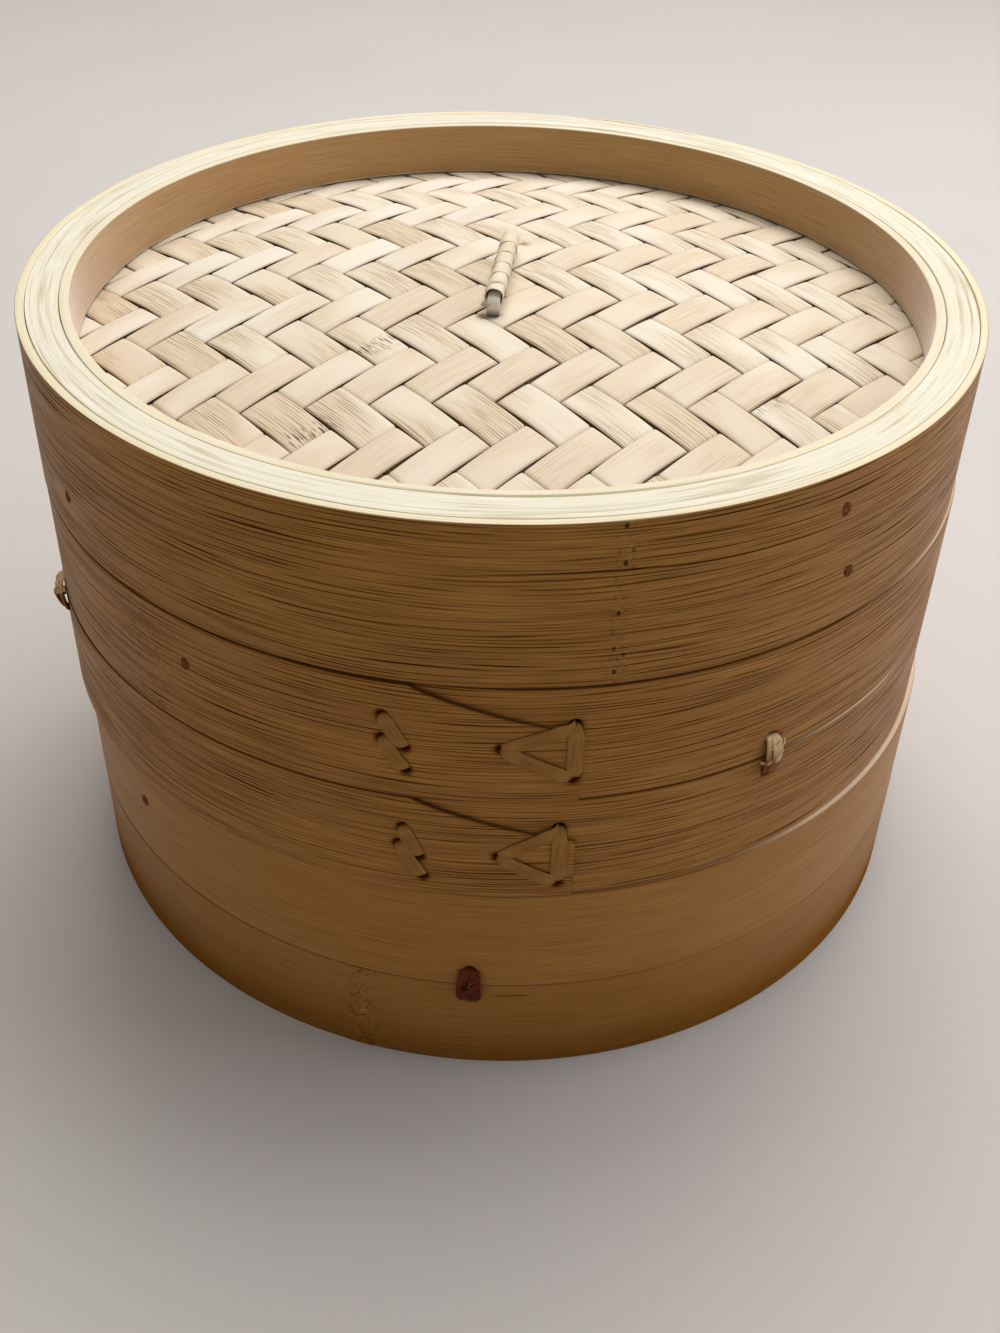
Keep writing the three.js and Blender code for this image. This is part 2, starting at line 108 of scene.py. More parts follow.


# %% [markdown]
# ## From a grid of points to a mesh
#
# Every piece here is a grid: rows along a strip, columns round its section. One function joins such a grid
# to four-sided faces and can close it into a ring or a tube, and another turns one or more grids into an
# object. A texture map in millimetres runs along the strip and across it, so that the grain follows each
# bend. Named marks on the points, from 0 to 1, tell a finish where the skin or a growth node is, where a
# real joint or crack is dark, and where shade is painted.

# %% Grid and mesh
def quads(points, chart, ring=False, tube=False, ends=False, **marks):
    """A grid of points as faces. A ring joins the last row to the first, a tube the last column to the
    first, and ends are closed by faces that join opposite sides of the section. The chart has one more row
    or column where the grid is joined, so that the map has no jump inside a face."""
    rows, columns = points.shape[:2]
    row, column = np.indices((rows - (not ring), columns - (not tube))).reshape(2, -1)
    corner_row = np.stack([row, row, row + 1, row + 1], axis=1)
    corner_column = np.stack([column, column + 1, column + 1, column], axis=1)
    if ends:
        side = np.arange(columns // 2 - 1)
        cap = np.stack([side, side + 1, columns - 2 - side, columns - 1 - side], axis=1)
        corner_row = np.vstack([corner_row, np.zeros_like(cap), np.full_like(cap, rows - 1)])
        corner_column = np.vstack([corner_column, cap[:, ::-1], cap])
    return {
        "points": points.reshape(-1, 3),
        "faces": corner_row % rows * columns + corner_column % columns,
        "chart": chart[corner_row, corner_column],
        "marks": {name: np.broadcast_to(mark, (rows, columns)).ravel() for name, mark in marks.items()},
    }


def facing_out(part):
    """Turns a closed grid's faces outwards: the volume that they span with the origin has to be
    positive."""
    corner = part["points"][part["faces"]]
    span = np.cross(corner[:, 1], corner[:, 2]) + np.cross(corner[:, 2], corner[:, 3])
    if (corner[:, 0] * span).sum() < 0:
        part["faces"], part["chart"] = part["faces"][:, ::-1], part["chart"][:, ::-1]
    return part


def to_scene(name, data, pose=Matrix()):
    """A new object in the scene, at a pose in metres."""
    thing = bpy.data.objects.new(name, data)
    thing.matrix_world = pose
    bpy.context.scene.collection.objects.link(thing)
    return thing


def build(name, parts, finish, slot, body, *nodes, crease=40):
    """Joins grids to one object that rides on a body and stands for CAD nodes. Edges sharper than crease
    degrees stay sharp, and all others are shaded smooth."""
    parts = [facing_out(part) for part in parts]
    first = np.cumsum([0] + [len(part["points"]) for part in parts])
    points = np.concatenate([part["points"] for part in parts]) * MM
    faces = np.concatenate([part["faces"] + start for part, start in zip(parts, first)])
    mesh = bpy.data.meshes.new(name)
    mesh.vertices.add(len(points))
    mesh.vertices.foreach_set("co", points.ravel())
    mesh.loops.add(faces.size)
    mesh.loops.foreach_set("vertex_index", faces.ravel())
    mesh.polygons.add(len(faces))
    mesh.polygons.foreach_set("loop_start", np.arange(0, faces.size, 4))
    chart = np.concatenate([part["chart"].reshape(-1, 2) for part in parts])
    mesh.uv_layers.new(name="chart").uv.foreach_set("vector", chart.ravel())
    for mark in parts[0]["marks"]:
        values = np.concatenate([part["marks"][mark] for part in parts])
        mesh.attributes.new(mark, "FLOAT", "POINT").data.foreach_set("value", values)
    mesh.update(calc_edges=True)
    mesh.polygons.foreach_set("use_smooth", np.ones(len(faces), dtype=bool))
    mesh.set_sharp_from_angle(angle=np.radians(crease))
    mesh.materials.append(finish)
    piece = to_scene(name, mesh)
    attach(piece, body)
    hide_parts(*nodes)
    print(f"{name}: {len(points)} points, {len(faces)} faces")


# %% [markdown]
# ## Camera
#
# The photograph was taken from in front and above, close to the steamer, so the walls narrow towards the
# table. The camera's place, its tilt and its lens are worked out from the ellipses of the rim, the seams
# and the base.

# %% Camera at the photograph's place
CAMERA_AT = np.array([-0.5, -384.5, 339.5])
PITCH, YAW, ROLL = np.radians([38.13, 0.08, 1.69])
FOCAL_PIXELS, LONG_SIDE_PIXELS, SENSOR = 1507.0, 1333.0, 36.0

lens = bpy.data.cameras.new("camera")
lens.sensor_width = SENSOR
lens.lens = FOCAL_PIXELS / LONG_SIDE_PIXELS * SENSOR
tilt = Matrix.Rotation(np.pi / 2 - PITCH, 4, "X") @ Matrix.Rotation(ROLL, 4, "Z")
pose = Matrix.Translation(CAMERA_AT * MM) @ Matrix.Rotation(-YAW, 4, "Z") @ tilt
bpy.context.scene.camera = to_scene("camera", lens, pose)
print("lens", round(lens.lens, 2), "mm")

# %% [markdown]
# ## Nodes and colours
#
# A finish is a small graph of shader nodes. Colours are picked as screen values in hex, and the shader
# wants them linear, so one function turns them. One more function adds a node, sets its values and
# makes its links. Bamboo is fibres everywhere: a noise stretched along the strip, and thin lines where
# fibre bundles come to the surface.

# %% Colour and node helpers
def linear(code):
    """A hex screen colour as linear RGBA: the sRGB curve undone."""
    value = np.array([int(code[start:start + 2], 16) for start in (1, 3, 5)]) / 255
    value = np.where(value <= 0.04045, value / 12.92, ((value + 0.055) / 1.055) ** 2.4)
    return (*value.tolist(), 1.0)


def feed(tree, node, inputs):
    """Fills a node's inputs, named in a dictionary or listed in their order: a socket is linked, a hex
    colour is made linear, and any other value is set."""
    for name, value in inputs.items() if isinstance(inputs, dict) else enumerate(inputs):
        if isinstance(value, bpy.types.NodeSocket):
            tree.links.new(value, node.inputs[name])
        else:
            node.inputs[name].default_value = linear(value) if isinstance(value, str) else value


def add(tree, kind, inputs, output=0, **settings):
    """Adds a shader node with its own settings and inputs, and gives one of its outputs."""
    node = tree.nodes.new("ShaderNode" + kind)
    for option, value in settings.items():
        setattr(node, option, value)
    feed(tree, node, inputs)
    return node.outputs[output]


def new_finish(name, inputs):
    """A material with one Principled shader, its plain values set on the shader's own sockets."""
    material = bpy.data.materials.new(name)
    material.use_nodes = True
    shader = material.node_tree.nodes["Principled BSDF"]
    feed(material.node_tree, shader, inputs)
    return material, material.node_tree, shader


def grain(tree, chart, along, across, detail=1.0, **inputs):
    """Noise stretched along a strip, its features about along mm long and across mm wide."""
    scaled = add(tree, "Mapping", {"Vector": chart, "Scale": (1 / along, 1 / across, 1)})
    inputs = {"Vector": scaled, "Scale": 1.0, "Detail": detail, **inputs}
    return add(tree, "TexNoise", inputs, noise_dimensions="2D")


def fibre_lines(tree, chart, spacing, bend, length, wide, thin):
    """Thin lines along a strip, 1 on a line and 0 beside it. The distance across, counted in spacings, is
    bent by a slow noise and folded to the distance from the nearest line, which fades from thin to wide. A
    second noise breaks the lines into pieces of about the given length."""
    warp = grain(tree, chart, 90, 4)
    across = add(tree, "SeparateXYZ", [chart], "Y")
    spaced = add(tree, "Math", [across, 1 / spacing], operation="MULTIPLY")
    bent = add(tree, "Math", [warp, bend, spaced], operation="MULTIPLY_ADD")
    from_line = add(tree, "Math", [bent, 0.5], operation="PINGPONG")
    streak = add(tree, "MapRange", [from_line, wide, thin])
    piece = grain(tree, chart, length, spacing)
    broken = add(tree, "MapRange", [piece, 0.4, 0.62])
    return add(tree, "Math", [streak, broken], operation="MULTIPLY")


def layered(tree, color, *layers):
    """Lays colours over a first one, in turn, each as far as its mask says."""
    for mask, over in layers:
        color = add(tree, "Mix", {FACTOR: mask, COLOR_A: color, COLOR_B: over}, MIXED, data_type="RGBA")
    return color


# A map range lists its value, the range that comes in and the range that goes out. The sockets of a colour
# mix are numbered, because several share a name.
FACTOR, COLOR_A, COLOR_B, MIXED = 0, 6, 7, 2
BAMBOO_IOR = 1.45
print("honey tan is", np.round(linear("#b98a4f"), 3))

# %% [markdown]
# ## Bent bamboo strip
#
# The hoops are planed strips of bamboo, bent with the skin side out. The skin is honey tan with dark fibre
# bundles that run along the strip, some as long as a hand and none wider than a millimetre. The flesh under
# it, which shows at every cut edge, is cream. Here and there the strip crosses a growth node of the culm,
# where the fibres swell and turn and leave a column of small dark pits. A picture could hold all this, but
# noise that is stretched along the strip gives it at any distance and never repeats.

# %% Finish: bent bamboo, planed, skin side out
def bent_bamboo(name, skin, shade, line, line_share, flesh="#ebe2c9", deep_flesh="#e4d6b0", sheen=0.24):
    """Bamboo strip. Fine fibres are 0.4 mm apart. Fibre bundles are dark lines 0.95 mm apart, in pieces
    about 34 mm long. The tone changes slowly over 70 mm. The mark skin mixes from flesh to skin. Loose
    surface fibres give a pale sheen where the wall turns away."""
    material, tree, shader = new_finish(name, {
        "IOR": BAMBOO_IOR, "Sheen Roughness": 0.45, "Sheen Tint": "#fdf2ee"})
    chart = add(tree, "UVMap", [], uv_map="chart")
    knuckle, column, outside, burn = (add(tree, "Attribute", [], "Fac", attribute_name=mark)
                                      for mark in ("knuckle", "dots", "skin", "burn"))
    fibre = grain(tree, chart, 24, 0.4, 3.0, Roughness=0.6)
    fine = add(tree, "MapRange", [fibre, 0.35, 0.68])
    lines = fibre_lines(tree, chart, spacing=0.95, bend=3.0, length=34.0, wide=0.22, thin=0.07)
    patch = grain(tree, chart, 70, 9, 2.0)
    slow = add(tree, "MapRange", [patch, 0.3, 0.75, 0, 0.5])
    where = add(tree, "MapRange", [patch, 0.36, 0.62, 0.6 * line_share, line_share])
    streaks = add(tree, "Math", [lines, where], operation="MULTIPLY")

    # Growth node: wrinkles with pale flecks where the fibres turn, and a column of small dark dots
    swirl = grain(tree, chart, 2.4, 1.9, 3.0, Distortion=1.2)
    pit = add(tree, "MapRange", [swirl, 0.58, 0.68])
    wrinkled = add(tree, "Math", [pit, knuckle], operation="MULTIPLY")
    dot_cells = add(tree, "Mapping", {"Vector": chart, "Scale": (1 / 3.2, 1 / 4.2, 1)})
    to_dot = add(tree, "TexVoronoi", {"Vector": dot_cells, "Scale": 1.0, "Randomness": 0.7}, "Distance",
                 voronoi_dimensions="2D")
    dot = add(tree, "MapRange", [to_dot, 0.2, 0.12])
    dotted = add(tree, "Math", [dot, column], operation="MULTIPLY")
    pitted = add(tree, "Math", [wrinkled, dotted], operation="MAXIMUM")
    fleck = add(tree, "MapRange", [swirl, 0.4, 0.3, 0, 0.5])
    flecked = add(tree, "Math", [fleck, knuckle], operation="MULTIPLY")

    # Skin, with cream flesh at the cut edges; painted shade darkens the holes, the edges at the seams and the
    # face towards the floor, and real joints and cracks are dark too
    outer = layered(tree, skin, (fine, shade), (slow, shade), (streaks, line), (flecked, "#c39c63"),
                    (pitted, line))
    color = layered(tree, flesh, (fine, deep_flesh), (outside, outer), (burn, "#431a0a"))

    # Painted shade, dark marks and dark lines have no gloss and no sheen, and lines and pits lie a little
    # deeper
    dark = add(tree, "Math", [burn, streaks], operation="MAXIMUM")
    gloss = add(tree, "MapRange", [dark, 0, 0.35, 0.15, 0.0])
    fuzz = add(tree, "MapRange", [dark, 0, 0.35, sheen, 0.0])
    rough = add(tree, "MapRange", [fibre, 0, 1, 0.45, 0.65])
    grooves = add(tree, "Math", [streaks, -0.8, fibre], operation="MULTIPLY_ADD")
    relief = add(tree, "Math", [pitted, -2.0, grooves], operation="MULTIPLY_ADD")
    bump = add(tree, "Bump", {"Height": relief, "Strength": 0.6, "Distance": 0.15 * MM})
    feed(tree, shader, {"Base Color": color, "Specular IOR Level": gloss, "Sheen Weight": fuzz,
                        "Roughness": rough, "Normal": bump})
    return material


LID_SKIN = bent_bamboo("bent_bamboo_lid", "#b27d3a", "#8d5e28", "#401c05", 1.0)
UPPER_SKIN = bent_bamboo("bent_bamboo_upper", "#b27d39", "#8d5b26", "#401c05", 1.0, "#f4dfc2", "#eacdaa")
LOWER_SKIN = bent_bamboo("bent_bamboo_lower", "#b07b38", "#9c692c", "#6b3f12", 0.25, "#f4dfc4", "#eacfae")
INNER_SKIN = bent_bamboo("bent_bamboo_inside", "#ba9360", "#a67f4c", "#7d5426", 0.12, sheen=1.0)
NECK_SKIN = bent_bamboo("bent_bamboo_neck", "#ba9360", "#a67f4c", "#7d5426", 0.12, "#e6cf9f", "#d6b982")
print("finishes:", len(bpy.data.materials))

# %% [markdown]
# ## The outer hoops
#
# Each outer hoop is one strip, bent once round until its ends overlap. The under end is shaved thin, and so
# is the over end, the tongue, which lies on it and is cut slanting along its top. A ring with a box stuck
# on it would show none of this. So the strip is one grid: rows follow its length from the under end round
# to the tip of the tongue, and columns go round its section. Where laces go through, the face is pushed in
# to make their holes, and near the lap the rows are close enough to draw them.

# %% Hoop surface
LAP, TONGUE_DROP, TONGUE_PROUD, LAP_GAP, THIN_END = 36.0, 13.0, 0.7, 0.3, 0.4
LACED_FROM, LACED_TO = -25, 3
# Holes and growth nodes. The third size is the reach of the painted shade round a hole, and on the next line
# the last two size the painted shade at the edges and above the bottom.
HOLE_RADIUS, HOLE_DEPTH, HOLE_SHADE_RADIUS, WRINKLE_RISE, DOTS_WIDTH = 1.25, 1.5, 1.5, 0.25, 1.7
LIT_SIDE, LIT_FADE, SHADE_DEPTH, FLOOR_SHADE_HEIGHT = 15.0, 0.05, 0.6, 18.0
FACE_WANDER, EDGE_WANDER = 0.18, 0.15
HOOP_SHIFT = np.array([1400, 90])  # times its seed, so that each strip has a grain of its own


def wander(angle, seed):
    """A smooth closed wobble round a ring, about -1 to 1: five sines of whole turns, seeded phases."""
    random = np.random.default_rng(seed)
    turns = np.arange(1, 6)
    wave = np.sin(np.radians(angle)[..., None] * turns + random.uniform(0, 2 * np.pi, turns.size))
    return wave @ random.uniform(0.15, 0.45, turns.size)


def hole_depth(angle, height, holes, radius):
    """How far each wall point lies inside any of the holes, 1 in the middle and 0 outside. It is the
    largest of 1 / (1 + (distance / radius)^6)."""
    if not len(holes):
        return np.zeros(np.broadcast(angle, height).shape)
    holes = np.array(holes)
    off = (angle[..., None] - holes[:, 0] + 180) % 360 - 180
    distance = np.hypot(off * ARC, height[..., None] - holes[:, 1])
    return (1 / (1 + (distance / radius) ** 6)).max(axis=-1)


def hoop(place, bottom, top, seed, growth, holes=(), cracks=(), edge_shade=0.0, lit_from=1.0, proud=0.0,
         foot_shade=0.0, floor_shade=0.0):
    """A bent strip as a grid. At each angle the section has an inside and an outside radius, a bottom and a
    top edge. Both ends thin out over the lap, and the tongue's top edge falls along its last half. Growth
    is the angle of a growth node, its width and how much it wrinkles and dots the face. Three amounts paint
    shade: one on the top edge and the face just under it, where the piece above shades it, which also turns
    that edge brown; one along the bottom edge; and one that darkens the face towards the bottom. On the lit
    side, where the cosine from there is above lit_from, the top and bottom edges get no painted shade and the
    strip stands proud of the piece above. Holes are painted dark with their shade."""
    fine, face_points = (0.22, 72) if len(holes) else (1.0, 24)
    node_angle, node_width, wrinkles, dotted = growth
    angle = np.unique(np.concatenate([
        np.arange(-LAP, LACED_FROM, 1.0), np.arange(LACED_FROM, LACED_TO, fine),
        np.arange(LACED_TO, 360 + LACED_FROM, 0.9), np.arange(360 + LACED_FROM, 360.01, fine),
        np.arange(node_angle - 4, node_angle + 4, 0.3) % 360]).round(3))[:, None]
    over = np.clip((angle - 360 + LAP) / LAP, 0, 1)
    under = np.clip((angle + LAP) / LAP, 0, 1)
    slope = STRIP_OUTSIDE - STRIP_INSIDE - THIN_END
    inside = STRIP_INSIDE + np.clip(over * 20, 0, 1) * (THIN_END + LAP_GAP) + over * slope
    lit = 1 / (1 + np.exp(-(np.cos(np.radians(angle + place["turn"] - LIT_SIDE)) - lit_from) / LIT_FADE))
    outside = STRIP_INSIDE + THIN_END + under * slope + over * TONGUE_PROUD + proud * lit
    outside = outside + FACE_WANDER * wander(angle, seed)
    edge = top - np.clip(2 * over - 1, 0, 1) ** 0.85 * TONGUE_DROP + EDGE_WANDER * wander(angle, seed + 1)
    low = bottom + EDGE_WANDER * wander(angle, seed + 2)
    soft = np.minimum(0.3 * (outside - inside), 0.3)

    def columns(below, face, above):
        """A value for each column: four on the bottom edge, those of the face and four on the top edge."""
        return np.concatenate([below, np.broadcast_to(face, face_points), above])

    rise, none = np.linspace(0, 1, face_points), [0, 0, 0, 0]
    reach = columns([0, 0, 1, 1], 1, [1, 1, 0, 0])
    lift = columns(none, rise, [1, 1, 1, 1])
    inward = columns([0, -0.5, 1, 0.3], 0, [0.3, 1, -0.5, 0])
    upward = columns([0.5, 0, 0, 0.3], 1 - 2 * rise, [-0.3, 0, 0, -0.5])
    skin = columns([0, 0, 0, 0.8], 1, [0.8, 0, 0, 0])
    face = skin == 1
    radius = inside + reach * (outside - inside) - inward * soft
    height = low + lift * (edge - low) + upward * soft
    across = np.where(lift > 0.5, 1, -1) * (outside - radius)
    around = np.broadcast_to(angle, radius.shape)

    dent = hole_depth(around, height, holes, HOLE_RADIUS) * face
    depth = np.minimum(HOLE_DEPTH, 0.8 * (outside - inside))
    off = ((around - node_angle + 180) % 360 - 180) * ARC
    knuckle = np.exp(-(off / node_width) ** 2) * face * wrinkles
    dots = np.exp(-(off / DOTS_WIDTH) ** 4) * face * dotted
    points = on_wall(place, around, height, radius - depth * dent + WRINKLE_RISE * knuckle)
    chart = np.stack([around * ARC, height + across], axis=-1) + seed * HOOP_SHIFT
    chart = np.concatenate([chart, chart[:, :1]], axis=1)

    # Painted shade in and round each hole
    hole_shade = np.clip(1.25 * hole_depth(around, height, holes, HOLE_SHADE_RADIUS) * face, 0, 1)
    shaded, lapped = 1 - lit, np.clip(8 * over, 0, 1)
    # Painted shade on the top edge, on the face just under it and along the tongue's slanted top, where the
    # piece above shades them
    below_edge = 0.5 * np.exp(-((edge - height) / SHADE_DEPTH) ** 2) * face
    top_shade = np.maximum(np.maximum(columns(none, 0, [1, 0.8, 0, 0]), below_edge),
                       columns(none, 0, [1, 1, 1, 1]) * lapped)
    # Painted shade along the bottom edge, where it meets the piece below
    above_foot = 0.7 * np.exp(-((height - low) / SHADE_DEPTH) ** 2) * face
    bottom_shade = np.maximum(columns([0, 0, 1, 1], 0, none), above_foot)
    # Painted shade that darkens the face towards the floor
    floor_shaded = floor_shade * np.exp(-(height - bottom) / FLOOR_SHADE_HEIGHT) * face
    burn = np.max([hole_shade, edge_shade * top_shade * shaded, foot_shade * bottom_shade * shaded, floor_shaded], axis=0)
    for crack_angle, crack_height, length in cracks:
        off = (around - crack_angle) * ARC
        slit = np.exp(-((height - crack_height - 0.03 * off) / 0.3) ** 2 - (2 * off / length) ** 6)
        burn = np.maximum(burn, 0.8 * slit * face)
    # Painted shade: away from the lit side the top edge takes the skin's brown instead of the flesh's cream
    shaded_top_edge = columns(none, 0, [1, 1, 0.6, 0.3]) * (edge_shade > 0) * shaded
    return quads(points, chart, tube=True, ends=True, skin=np.maximum(skin, shaded_top_edge), burn=burn, knuckle=knuckle,
                 dots=dots)


# %% [markdown]
# ## Where the strips are laced
#
# The lacing is the same on both tiers: a pair of slanted stitches and a triangle on each hoop's lap. Angles
# count from the tip of the tongue, and heights from the tier's base. The same lists make the holes now and
# the laces later.

# %% Lacing places and outer hoops
BANDS = {"upper": (31.7, 65.2), "lower": (0.0, 31.4)}
SEAM, KNOTS, KNOT_REACH = 31.55, (22.8, -77.7, 152.3), {"upper": 5.5, "lower": -5.5}
STITCHES = {
    "upper": [[(-20.8, 55.4), (-18.5, 46.6)], [(-20.9, 48.6), (-18.4, 39.9)]],
    "lower": [[(-18.9, 21.3), (-17.1, 12.2)], [(-19.4, 15.7), (-16.7, 5.7)]],
}
TRIANGLES = {
    "upper": [(-8.5, 48.4), (-0.9, 54.6), (-0.9, 38.8)],
    "lower": [(-8.5, 14.0), (-1.9, 22.5), (-1.9, 4.7)],
}
# Growth nodes and cracks are the strips' own marks. The other entries set the painted shade on the top and
# bottom edges and towards the floor, where the lit side begins, and how far the strip stands proud there.
WEAR_AND_SHADE = {
    ("upper_tier", "upper"): {"growth": (-51.0, 8.0, 0.45, 0.0), "edge_shade": 0.85, "lit_from": 0.57,
                              "proud": 0.35, "foot_shade": 0.35},
    ("upper_tier", "lower"): {"growth": (118.0, 4.0, 0.8, 0.0), "edge_shade": 0.8, "lit_from": 0.36, "proud": 0.5},
    ("lower_tier", "upper"): {"growth": (110.7, 5.0, 0.35, 0.0), "edge_shade": 0.4, "lit_from": 0.36},
    ("lower_tier", "lower"): {"growth": (139.1, 4.0, 0.9, 0.0), "edge_shade": 0.22, "lit_from": 0.9, "floor_shade": 0.5,
                              "cracks": [(157.3, 27.5, 10.0)]},
}

for tier, skin, seed in ((UPPER, UPPER_SKIN, 3), (LOWER, LOWER_SKIN, 7)):
    for number, (band, (bottom, top)) in enumerate(BANDS.items()):
        holes = [end for lace in STITCHES[band] for end in lace] + TRIANGLES[band]
        holes += [(angle, SEAM + KNOT_REACH[band]) for angle in KNOTS]
        strip = hoop(tier, bottom, top, seed + number, holes=holes, **WEAR_AND_SHADE[tier["body"], band])
        name = f"{tier['body']}_{band}_outer_hoop"
        build(name + "_strip", [strip], skin, "bamboo_skin", tier["body"], name)

# The lid's bottom edge gets painted shade where it meets the upper tier
strip = hoop(LID, 0.0, LID_HEIGHT, 11, growth=(-77.5 - LID["turn"], 2.8, 0.4, 1.0), lit_from=0.5, foot_shade=0.4)
build("lid_outer_hoop_strip", [strip], LID_SKIN, "bamboo_skin", "lid", "lid_outer_hoop")

# %% [markdown]
# ## Split bamboo
#
# Behind the outer strip the wall is wound from thick laths, and the rim shows them edge on: cream, dry,
# with fine fibres that run round, and thin brown lines where one lath ends and the next begins. The same
# planed laths make the floor. The fibres are stretched noise again, but closer and paler, with a few yellow
# streaks.

# %% Finish: split bamboo, planed, cut edge showing
def split_bamboo(name, pale, deep, line, streak_share):
    """Cut bamboo. Fibres 0.35 mm apart, drawn from pale to deep, and a few darker lines 1.2 mm apart. The
    dark mark darkens the joints between laths."""
    material, tree, shader = new_finish(name, {"Roughness": 0.62, "IOR": BAMBOO_IOR})
    chart = add(tree, "UVMap", [], uv_map="chart")
    fibre = grain(tree, chart, 22, 0.35, 3.0, Roughness=0.6)
    bundle = grain(tree, chart, 45, 1.2, 2.0, Roughness=0.6)
    fine = add(tree, "MapRange", [fibre, 0.32, 0.72])
    streak = add(tree, "MapRange", [bundle, 0.56, 0.7, 0, streak_share])
    burn = add(tree, "Attribute", [], "Fac", attribute_name="burn")
    color = layered(tree, pale, (fine, deep), (streak, line), (burn, "#6a4a26"))
    bump = add(tree, "Bump", {"Height": fibre, "Strength": 0.45, "Distance": 0.15 * MM})
    feed(tree, shader, {"Base Color": color, "Normal": bump})
    return material


LATH = split_bamboo("split_bamboo_lath", "#e9e4d5", "#d9d0b6", "#b09c6e", 0.55)
SLAT = split_bamboo("split_bamboo_slat", "#e2c994", "#cdae73", "#9a7440", 0.5)

# %% [markdown]
# ## Core hoops and liners
#
# A core is a lath wound round more than once, so its edge shows two joints that drift a little as they go
# round. A liner is one thin ring inside it. Both are rings: a closed outline of radius and height, carried
# round the axis. The outline is a rounded polygon with many points along its level sides, so that the
# joints can be pressed into them.

# %% Ring surface
UPRIGHT_STEP = 3.0
GROOVE_WIDTH, GROOVE_DEPTH, GROOVE_DRIFT, UNEVEN = 0.22, 0.2, 0.45, 0.12
RING_SHIFT = np.array([1300, 70])


def box(left, right, bottom, top):
    """The corners of an upright rectangle."""
    return [(left, bottom), (right, bottom), (right, top), (left, top)]


def travelled(points, closed=False):
    """The distance along a path to each of its points, and, where it is closed, once more to its start."""
    points = np.vstack([points, points[:1]]) if closed else points
    return np.insert(np.cumsum(np.linalg.norm(np.diff(points, axis=0), axis=1)), 0, 0)


def outline(corners, soft=0.4, step=1.5):
    """A closed outline with softened corners: each level side is split about every step millimetres, each
    upright side, which has nothing to draw, at UPRIGHT_STEP or more, and each corner is cut back by soft on
    both sides, with its middle point pulled in. The number of points is even."""
    corners = np.array(corners, dtype=float)
    after = np.roll(corners, -1, axis=0)
    run = after - corners
    length = np.linalg.norm(run, axis=1, keepdims=True)
    start, end = corners + run / length * soft, after - run / length * soft
    sides = []
    for one, two, size, corner, following in zip(start, end, length[:, 0], after, np.roll(start, -1, axis=0)):
        level = abs(two[1] - one[1]) < abs(two[0] - one[0])
        count = max(2, int(size / (step if level else max(step, UPRIGHT_STEP))))
        sides += [np.linspace(one, two, count), [0.25 * (two + following) + 0.5 * corner]]
    points = np.concatenate(sides)
    return points if len(points) % 2 == 0 else np.vstack([points, (points[-1] + points[0]) / 2])


def ring(place, corners, seed, joints=(), step=1.5, snug=0.0):
    """A ring from an outline of radius and height. Joints are radii at which a narrow groove is pressed
    into the top and bottom edges, and they drift by up to half a millimetre. Snug swells the ring outwards
    and inwards where it touches its neighbours, which leaves an open joint only on some stretches."""
    section = outline(corners, step=step)
    out, up = section.T
    angle = np.arange(0, 360, 1.0)[:, None]
    closed = np.clip(1.1 - 1.1 * wander(angle, seed + 2), 0, 1)
    radius = out + snug * closed * np.sign(out - (out.max() + out.min()) / 2)
    drift = GROOVE_DRIFT * wander(angle, seed)
    faint = np.clip(0.5 + 0.7 * wander(angle, seed + 3), 0.1, 1)
    level = np.isclose(up, up.max()) | np.isclose(up, up.min())
    groove = np.zeros(radius.shape)
    for joint, way in zip(joints, (1, -1)):
        pressed = np.exp(-((radius - joint - way * drift) / GROOVE_WIDTH) ** 2)
        groove = np.maximum(groove, pressed * level * faint)
    wave = UNEVEN * wander(angle, seed + 1) * (up == up.max())
    inward = GROOVE_DEPTH * np.where(up > up.mean(), 1, -1)
    points = on_wall(place, angle, up - groove * inward + wave, radius)
    around = np.append(angle, 360.0) * ARC
    chart = np.stack(np.meshgrid(around, travelled(section, closed=True), indexing="ij"), axis=-1)
    chart = chart + seed * RING_SHIFT
    return quads(points, chart, ring=True, tube=True, burn=0.35 * groove,
                 skin=(radius <= out.min() + 0.01).astype(float))


# %% Lid rings
PANEL_EDGE = LID_HEIGHT - PANEL_DEPTH
LINER_TURN, CORE_JOINTS, NEST_TOP = -60.0, (120.5, 122.6), 9.5
lid_rings = {
    "core_hoop_laths": (LATH, "lid_core_hoop", ring(
        LID, box(CORE_INSIDE, CORE_OUTSIDE, 0, LID_HEIGHT), 21, CORE_JOINTS, step=0.25, snug=0.22)),
    "top_liner_ring": (INNER_SKIN, "lid_top_liner", ring(
        {**LID, "turn": LINER_TURN}, box(LID_LINER_INSIDE, LINER_OUTSIDE, PANEL_EDGE + 0.3, LID_HEIGHT), 23,
        step=0.5)),
    "bottom_liner_ring": (INNER_SKIN, "lid_bottom_liner", ring(
        LID, box(LID_LINER_INSIDE, LINER_OUTSIDE, NEST_TOP, PANEL_EDGE - 2.7), 25)),
}
for name, (finish, node, part) in lid_rings.items():
    build("lid_" + name, [part], finish, "bamboo_core", "lid", node)

